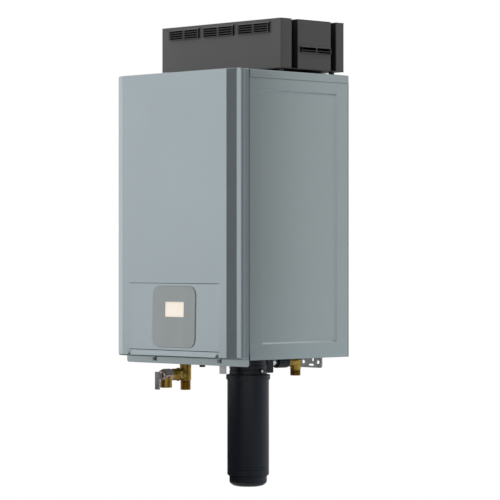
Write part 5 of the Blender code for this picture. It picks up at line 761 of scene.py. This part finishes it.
class HEATER_OT_cover(bpy.types.Operator):
    """Makes the front cover, its screws and the panel with its lit display"""

    bl_idname = "heater.cover"
    bl_label = "Front cover and panel"

    def execute(self, context):
        edge = sizes().sheet_edge
        softened("front_cover", edge, "cover_paint", segments=3, smooth=COVER_SMOOTH, shape=self.ease)
        softened("control_bezel", sizes().moulded_edge, "bezel_plastic", segments=3)
        softened("display_window", FINE_EDGE, "display_glass")
        for node in ("cover_screw_left", "cover_screw_right"):
            softened(node, FINE_EDGE, "steel")
        return {"FINISHED"}

    def ease(self, cover):
        """Makes the lower crease shallower and the bevelled sides wider, and evens out the round corners."""
        low, high = CREASE_ROW

        def in_row(vertex):
            return all(least < part < most for least, part, most in zip(low, vertex.co, high))

        if not pick(cover, in_row, "VERT"):
            raise RuntimeError("the lower crease isn't where it was")
        bpy.ops.transform.resize(value=(1, CREASE_SHARE, 1), center_override=(0, COVER_FRONT, 0))
        near, far = BEVEL_START
        for side in (-1, 1):
            if not pick(cover, lambda vertex: near < vertex.co.x * side < far, "VERT"):
                raise RuntimeError("the bevelled side doesn't start where it did")
            bpy.ops.transform.translate(value=(-side * BEVEL_SHIFT, 0, 0))
        x, y = CORNER_AXIS

        def round_corner(edge):
            reach = [math.hypot(abs(part.co.x) - x, part.co.y - y) for part in edge.verts]
            away = [abs(part - CORNER_R) for part in reach]
            turned = all(part.co.y < y + MERGE and abs(part.co.x) > x + CORNER_REACH for part in edge.verts)
            return turned and max(away) < CORNER_SLACK and edge.calc_length() > UPRIGHT

        bpy.ops.mesh.select_all(action="SELECT")
        bpy.ops.mesh.dissolve_limited(angle_limit=FLAT)
        if not pick(cover, round_corner, "EDGE"):
            raise RuntimeError("the round corners aren't where they were")
        bpy.ops.mesh.bevel(offset=CORNER_BEVEL, segments=2, affect="EDGES")


class HEATER_OT_hood(bpy.types.Operator):
    """Rounds the vent hood's folds and the rims of its louvres"""

    bl_idname = "heater.hood"
    bl_label = "Vent hood"

    def execute(self, context):
        edge = sizes().sheet_edge
        for part in ("front", "back", "deflector_left", "deflector_right", "roof", "base"):
            softened(f"hood_{part}", edge, "hood_paint")
        # The core gets the near-black finish that paints the shade inside the hood's channels
        softened("hood_core", edge, "hood_paint", finish="hood_core_painted_shade")
        return {"FINISHED"}


class HEATER_OT_cartridge(bpy.types.Operator):
    """Turns the treatment cartridge that hangs under the cabinet"""

    bl_idname = "heater.cartridge"
    bl_label = "Treatment cartridge"

    def execute(self, context):
        base = -COLLAR_H - CANISTER_H
        cap = base - 0.002
        dome = cap - CAP_H
        profile = [(0.012, dome - DOME_H), (CAP_R * 0.60, dome - DOME_H)]
        profile += [(CAP_R * 0.80, dome - DOME_H * 0.82), (CAP_R * 0.92, dome - DOME_H * 0.50)]
        profile += [(CAP_R * 0.985, dome - DOME_H * 0.18), (CAP_R, dome)]
        profile += [(CAP_R, cap - 0.001), (CAP_R - 0.001, cap)]
        profile += [(CANISTER_R - 0.003, cap), (CANISTER_R - 0.003, base)]
        profile += [(CANISTER_R - 0.0015, base), (CANISTER_R - 0.0004, base + 0.0005)]
        profile += [(CANISTER_R, base + 0.0015)]
        for ring in (base + 0.0140, base + 0.0210):
            profile += [(CANISTER_R, ring), (CANISTER_R - 0.0005, ring + 0.0004)]
            profile += [(CANISTER_R - 0.0005, ring + 0.0010), (CANISTER_R, ring + 0.0014)]
        profile += [(CANISTER_R, -COLLAR_H - 0.0008), (CANISTER_R + 0.0008, -COLLAR_H)]
        profile += [(COLLAR_R - 0.0012, -COLLAR_H), (COLLAR_R, -COLLAR_H + 0.0012)]
        profile += [(COLLAR_R, -0.0012), (COLLAR_R - 0.0012, 0), (NECK_R, 0), (NECK_R, 0.0156)]
        profile += [(0.0334, 0.0156), (0.0334, 0.0194), (NECK_R, 0.0194)]
        profile += [(NECK_R - 0.0006, NECK_H), (PASSAGE_R, NECK_H)]
        canister = lathe("cartridge_canister", profile, CARTRIDGE_AXIS, UP, CANISTER_SIDES)
        lugs = []
        for number in range(3):
            x, y, z = CARTRIDGE_AXIS
            low, high = (x + LUG_INNER, y - LUG_HALF, z + 0.008), (x + LUG_OUTER, y + LUG_HALF, z + 0.012)
            lug = slab("lug", low, high, 0.0004)
            edit(lug)
            bpy.ops.mesh.select_all(action="SELECT")
            turn = math.radians(120 * number)
            bpy.ops.transform.rotate(value=turn, orient_axis="Z", center_override=CARTRIDGE_AXIS)
            close()
            lugs.append(lug)
        fused(canister, *lugs)
        dress(canister, "black_plastic", "treatment_cartridge", ["cartridge"])
        return {"FINISHED"}


class HEATER_OT_head(bpy.types.Operator):
    """Makes the cartridge's head: a ringed socket, the inlet block and the bleed screw"""

    bl_idname = "heater.head"
    bl_label = "Cartridge head"

    def execute(self, context):
        x, y, z = CARTRIDGE_AXIS
        profile = [(HEAD_R - 0.0008, SEAT), (HEAD_R, SEAT + 0.0008)]
        profile += [(HEAD_R, 0.0100), (HEAD_R - 0.0012, 0.0106)]
        profile += [(HEAD_R - 0.0012, 0.0126), (HEAD_R, 0.0132), (HEAD_R, 0.0225), (HEAD_R - 0.0015, 0.0235)]
        profile += [(HEAD_R - 0.0015, HEAD_H - 0.0085), (HEAD_R, HEAD_H - 0.0075)]
        profile += [(HEAD_R, HEAD_H - 0.0006), (HEAD_R - 0.0006, HEAD_H), (BOSS_R, HEAD_H), (BOSS_R, BOSS_H)]
        head = lathe("cartridge_head_shell", profile, CARTRIDGE_AXIS, UP, HEAD_SIDES)
        low = (x - BLOCK_HALF, y + BLOCK_FRONT, z + 0.0023)
        high = (x + BLOCK_HALF, BLOCK_BACK, z + HEAD_H - 0.002)
        block = slab("block", low, high, BLOCK_EDGE, 3)
        profile = [(0.0066, 0), (0.0066, 0.0052), (0.0060, 0.0060)]
        boss = lathe("boss", profile, (x + BLEED_BOSS_X, y, BLEED_Z), TO_RIGHT, SMALL_ROUND)
        fused(head, block, boss)
        bored(head, (x, y, z - 0.001), UP, HEAD_SOCKET_H + 0.001, HEAD_BORE_R, HEAD_SIDES)
        groove = lathe("tool", [(LUG_GROOVE_R, 0.0077), (LUG_GROOVE_R, 0.0123)], CARTRIDGE_AXIS, UP, HEAD_SIDES)
        cutter_ran(head, groove, "DIFFERENCE")
        bored(head, (x, BLOCK_BACK + 0.001, WATER_Z), TO_ROOM, 0.040, PASSAGE_R)
        settle(head)
        dress(head, "black_plastic", BODY, ["cartridge_head"])
        place = (x + BLEED_X, y, BLEED_Z)
        screw("bleed_screw", place, TO_RIGHT, BLEED_R, BLEED_H, "stainless", "bright_screw")
        profile = [(HEAD_NECK_R, 0), (HEAD_NECK_R, HEAD_NECK_H)]
        neck = lathe("head_neck", profile, (x, BLOCK_BACK - 0.0020, WATER_Z), TO_WALL, SMALL_ROUND)
        bored(neck, (x, BLOCK_BACK - 0.003, WATER_Z), TO_WALL, 0.030, HEAD_NECK_BORE_R)
        dress(neck, "stainless", finish="bright_screw")
        return {"FINISHED"}


class HEATER_OT_inlet(bpy.types.Operator):
    """Makes the cold inlet line: tailpiece, ribbed coupling nut and threaded elbow"""

    bl_idname = "heater.inlet"
    bl_label = "Cold inlet"

    def execute(self, context):
        x = CARTRIDGE_AXIS[0]
        neck = NUT_START + 0.003 + SEAT + 0.003 + SEAT
        softened("coupling_nut", THIN_EDGE, "black_plastic")
        profile = [(0.0128, 0), (0.0155, 0), (0.0158, 0.0006), (0.0158, 0.0020), (0.0128, 0.0020)]
        ring = lathe("nut_ring", profile, (x, NUT_END - 0.0002, WATER_Z), TO_WALL, SMALL_ROUND)
        dress(ring, "black_plastic")
        profile = [(0.0131, 0), (0.0131, NUT_END - neck), (ELBOW_R, NUT_END - neck + 0.0024)]
        turn = ELBOW_Y - neck
        profile += [(ELBOW_R, turn), (ELBOW_R * 0.97, turn + ELBOW_R * 0.25)]
        profile += [(ELBOW_R * 0.87, turn + ELBOW_R * 0.5)]
        profile += [(ELBOW_R * 0.66, turn + ELBOW_R * 0.74), (ELBOW_R * 0.35, turn + ELBOW_R * 0.80)]
        elbow = lathe("elbow_body", profile, (x, neck, WATER_Z), TO_WALL, FITTING_SIDES)
        leg = thread(THREAD_R, THREAD_H)
        leg += [(THREAD_R - 0.0003, THREAD_H + 0.0006), (LEG_R, THREAD_H + 0.0016)]
        leg += [(LEG_R, WATER_Z - ELBOW_END)]
        fused(elbow, lathe("leg", leg, (x, ELBOW_Y, ELBOW_END), UP, FITTING_SIDES))
        bored(elbow, (x, ELBOW_Y, ELBOW_END - 0.001), UP, 0.036, PORT_R)
        bored(elbow, (x, neck - 0.001, WATER_Z), TO_WALL, ELBOW_Y - neck, PASSAGE_R)
        dress(elbow, "brass", BODY, ["inlet_elbow"])
        return {"FINISHED"}


class HEATER_OT_outlet(bpy.types.Operator):
    """Makes the hot outlet's tee, the relief valve on its branch and the test lever"""

    bl_idname = "heater.outlet"
    bl_label = "Hot outlet and relief valve"

    def execute(self, context):
        profile = thread(THREAD_R, 0.0235)
        profile += [(THREAD_R, 0.0240), (TEE_R, 0.0256), (TEE_R, TEE_TOP - TEE_END)]
        tee = lathe("tee_body", profile, (TEE_X, TEE_Y, TEE_END), UP, FITTING_SIDES)
        centre = (TEE_X, TEE_Y, TEE_Z)
        profile = [(0.0138, 0), (0.0138, 0.0175), (0.0145, 0.0180), (0.0145, 0.0195), (0.0140, 0.0200)]
        branch = lathe("branch", profile, centre, TO_ROOM, FITTING_SIDES)
        fused(tee, branch)
        bored(tee, (TEE_X, TEE_Y, TEE_END - 0.001), UP, 0.140, PORT_R)
        bored(tee, (TEE_X, TEE_Y - 0.021, TEE_Z), TO_WALL, 0.021, BRANCH_BORE_R)
        dress(tee, "brass", BODY, ["outlet_tee"])
        profile = [(0.0130, 0.0203), (0.0138, 0.0208), (0.0138, 0.0340)]
        for ring in (0.0340, 0.0410):
            profile += [(0.0146, ring), (0.0150, ring + 0.0005)]
            profile += [(0.0150, ring + 0.0020), (0.0146, ring + 0.0025)]
            profile += [(0.0138, ring + 0.0027), (0.0138, ring + 0.0065)]
        profile += [(0.0138, 0.0520), (0.0130, 0.0522)]
        valve = lathe("valve_body", profile, centre, TO_ROOM, FITTING_SIDES)
        profile = [(0.0158, 0.0215), (0.0168, 0.0222), (0.0168, 0.0288), (0.0158, 0.0295)]
        flats = lathe("flats", profile, centre, TO_ROOM, 6)
        profile = [(0.0140, 0), (0.0150, 0.0006), (0.0150, 0.0150), (0.0144, 0.0156), (0.0144, 0.0300)]
        foot = lathe("foot", profile, (TEE_X, FOOT_Y, FOOT_END), UP, FITTING_SIDES)
        fused(valve, flats, foot)
        bored(valve, (TEE_X, FOOT_Y, FOOT_END - 0.001), UP, 0.030, FOOT_BORE_R)
        bored(valve, (TEE_X, TEE_Y - 0.020, TEE_Z), TO_ROOM, 0.034, BRANCH_BORE_R)
        dress(valve, "brass", BODY, ["relief_valve_body"])
        profile = [(0.0144, 0.0522), (0.0154, 0.0530), (0.0154, 0.0760), (0.0148, 0.0790)]
        profile += [(0.0130, 0.0825), (0.0100, 0.0842), (STEM_BORE_R, 0.0845)]
        bonnet = lathe("valve_bonnet", profile, centre, TO_ROOM, 8)
        bored(bonnet, (TEE_X, TEE_Y - 0.0500, TEE_Z), TO_ROOM, 0.0290, BONNET_BORE_R)
        bored(bonnet, (TEE_X, TEE_Y - 0.0500, TEE_Z), TO_ROOM, 0.0360, STEM_BORE_R)
        dress(bonnet, "brass", finish="bonnet_plate")
        softened("relief_lever", THIN_EDGE, "stainless", "valve_lever")
        return {"FINISHED"}


class HEATER_OT_stubs(bpy.types.Operator):
    """Makes the short stubs under the pan: gas nipple, condensate drain and cable gland"""

    bl_idname = "heater.stubs"
    bl_label = "Gas, drain and gland"

    def execute(self, context):
        low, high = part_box("gas_inlet_nipple")
        x, y = (low.x + high.x) / 2, (low.y + high.y) / 2
        profile = thread(NIPPLE_R, 0.014) + [(NIPPLE_R, 0.0145), (NIPPLE_R, 0.0360)]
        profile += [(0.0172, 0.0360), (NIPPLE_FLANGE_R, 0.0366), (NIPPLE_FLANGE_R, 0.0397)]
        profile += [(NIPPLE_R, 0.0397), (NIPPLE_R, high.z - low.z)]
        nipple = lathe("gas_nipple", profile, (x, y, low.z), UP, FITTING_SIDES)
        bored(nipple, (x, y, low.z - 0.001), UP, 0.060, NIPPLE_BORE_R)
        dress(nipple, "brass", BODY, ["gas_inlet_nipple"])
        softened("condensate_drain", sizes().sheet_edge, "black_plastic", segments=3)
        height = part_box("junction_box")[0].z + 0.0015
        profile = [(0.0128, 0), (0.0138, 0.0008), (0.0138, 0.0072), (0.0128, 0.0080)]
        nut = lathe("gland_nut", profile, (GLAND_X, GLAND_Y, height), UP, 6)
        bored(nut, (GLAND_X, GLAND_Y, height - 0.001), UP, 0.012, GLAND_BORE_R)
        dress(nut, "black_plastic")
        return {"FINISHED"}


class HEATER_OT_stage(bpy.types.Operator):
    """Sets the pale floor, the soft lamps, the white surroundings and the camera"""

    bl_idname = "heater.stage"
    bl_label = "Set the stage"

    def execute(self, context):
        deselect()
        level = CAD_BOX[0][2] - FLOOR_DROP
        bpy.ops.mesh.primitive_plane_add(size=FLOOR_SIZE, location=(0, 0, level))
        floor = bpy.context.object
        floor.name = "floor"
        floor.data.materials.append(self.pale())
        floor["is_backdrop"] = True
        for name, setting in LAMPS.items():
            self.lamp(name, *setting)
        for name, setting in CARDS.items():
            self.card(name, *setting)
        self.surroundings()
        scene = context.scene
        bpy.ops.object.camera_add(location=CAMERA_PLACE, rotation=(math.pi / 2, 0, CAMERA_TURN))
        camera = bpy.context.object
        camera.data.lens = CAMERA_LENS
        camera.data.sensor_width = CAMERA_SENSOR
        camera.data.shift_y = CAMERA_SHIFT
        scene.camera = camera
        scene.view_settings.view_transform = "Standard"
        return {"FINISHED"}

    def lamp(self, name, place, size, power):
        """A soft square lamp that faces the middle of the cabinet."""
        middle = (Vector(CAD_BOX[0]) + Vector(CAD_BOX[1])) / 2
        turn = (Vector(place) - middle).to_track_quat("Z", "Y").to_euler()
        bpy.ops.object.light_add(type="AREA", location=place, rotation=turn)
        lamp = bpy.context.object
        lamp.name = name
        lamp.data.size = size
        lamp.data.energy = power
        lamp.visible_glossy = False

    def card(self, name, place, reach, greys, tone):
        """A card beside the object, which only gloss sees, as a photographer shapes a reflection."""
        deselect()
        bpy.ops.mesh.primitive_plane_add(size=2.0, location=place)
        card = bpy.context.object
        card.name = name
        for vertex, (across, up) in zip(card.data.vertices, ((-1, -1), (1, -1), (-1, 1), (1, 1))):
            vertex.co = (across * reach[0], across * reach[1], up * reach[2])
        material = bpy.data.materials.new(name)
        made = Nodes(material, "Material Output")
        made.tree.nodes.remove(made.tree.nodes["Principled BSDF"])
        axis = 1 if reach[1] > reach[0] else 0
        long = made.add("ShaderNodeSeparateXYZ", None, {0: made.coordinates()}, axis)
        along = made.narrowed(long, -max(reach[:2]), max(reach[:2]))
        stops = [(position, (*[grey * part for part in tone], 1.0)) for position, grey in greys]
        ramp = made.add("ShaderNodeValToRGB", {"stops": stops}, {"Fac": along}, "Color")
        made.feed(made.end, made.glow(ramp))
        card.data.materials.append(material)
        card.visible_camera = False
        card.visible_diffuse = False
        card.visible_shadow = False
        card.visible_transmission = False
        card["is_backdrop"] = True

    def pale(self):
        """The floor's finish: pale, with the object's shadow, and white to the camera elsewhere."""
        made = Finish("floor_pale", roughness=0.9)
        speck = made.noise(60.0, 3.0)
        made.set("Base Color", made.tint(speck, (0.88, 0.88, 0.88, 1.0), (0.92, 0.92, 0.92, 1.0)))
        made.bump(speck, 0.05, 0.0002)
        place = made.coordinates()
        reach = made.add("ShaderNodeVectorMath", {"operation": "LENGTH"}, {0: place}, "Value")
        far = made.between(made.narrowed(reach, FLOOR_NEAR, FLOOR_FAR), FLOOR_WHITE, 1.0)
        camera = made.add("ShaderNodeLightPath", output="Is Camera Ray")
        lit = Wire(made, made.shader.outputs["BSDF"])
        white = made.glow((*WHITE, 1.0))
        made.feed(made.end, made.add("ShaderNodeMixShader", None, {0: camera * far, 1: lit, 2: white}))
        return made.material

    def surroundings(self):
        """A grey world that the camera, gloss and glass see as white."""
        world = bpy.data.worlds.new("surroundings")
        bpy.context.scene.world = world
        made = Nodes(world, "World Output")
        kinds = ("Camera", "Glossy", "Transmission")
        rays = [made.add("ShaderNodeLightPath", output=f"Is {kind} Ray") for kind in kinds]
        seen = rays[0]
        for ray in rays[1:]:
            seen = seen.math("MAXIMUM", seen, ray)
        colour = made.tint(seen, (WORLD_GREY, WORLD_GREY, WORLD_GREY, 1.0), (*WHITE, 1.0))
        made.feed(made.end, made.add("ShaderNodeBackground", None, {"Color": colour, "Strength": 1.0}))


class HEATER_PT_panel(bpy.types.Panel):
    """The heater's tools"""

    bl_label = "Tankless water heater"
    bl_idname = "HEATER_PT_panel"
    bl_space_type = "VIEW_3D"
    bl_region_type = "UI"
    bl_category = "Heater"

    def draw(self, context):
        for group in (context.scene.heater_colours, context.scene.heater_sizes):
            box = self.layout.box()
            for key in group.bl_rna.properties.keys():
                if key not in ("rna_type", "name"):
                    box.prop(group, key)
        for step in STEPS:
            self.layout.operator(step.bl_idname)


STEPS = (
    HEATER_OT_finishes,
    HEATER_OT_cabinet,
    HEATER_OT_cover,
    HEATER_OT_hood,
    HEATER_OT_cartridge,
    HEATER_OT_head,
    HEATER_OT_inlet,
    HEATER_OT_outlet,
    HEATER_OT_stubs,
    HEATER_OT_stage,
)
GROUPS = (HeaterColours, HeaterSizes)


def register():
    for made in (*GROUPS, *STEPS, HEATER_PT_panel):
        bpy.utils.register_class(made)
    bpy.types.Scene.heater_colours = bpy.props.PointerProperty(type=HeaterColours)
    bpy.types.Scene.heater_sizes = bpy.props.PointerProperty(type=HeaterSizes)


def unregister():
    del bpy.types.Scene.heater_sizes
    del bpy.types.Scene.heater_colours
    for made in reversed((*GROUPS, *STEPS, HEATER_PT_panel)):
        bpy.utils.unregister_class(made)


def main():
    register()
    for step in STEPS:
        group, name = step.bl_idname.split(".")
        getattr(getattr(bpy.ops, group), name)()
    boxes = {"cad": CAD_BOX, "visual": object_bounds()}
    {key: [list(corner) for corner in box] for key, box in boxes.items()}


if __name__ == "__main__":
    main()
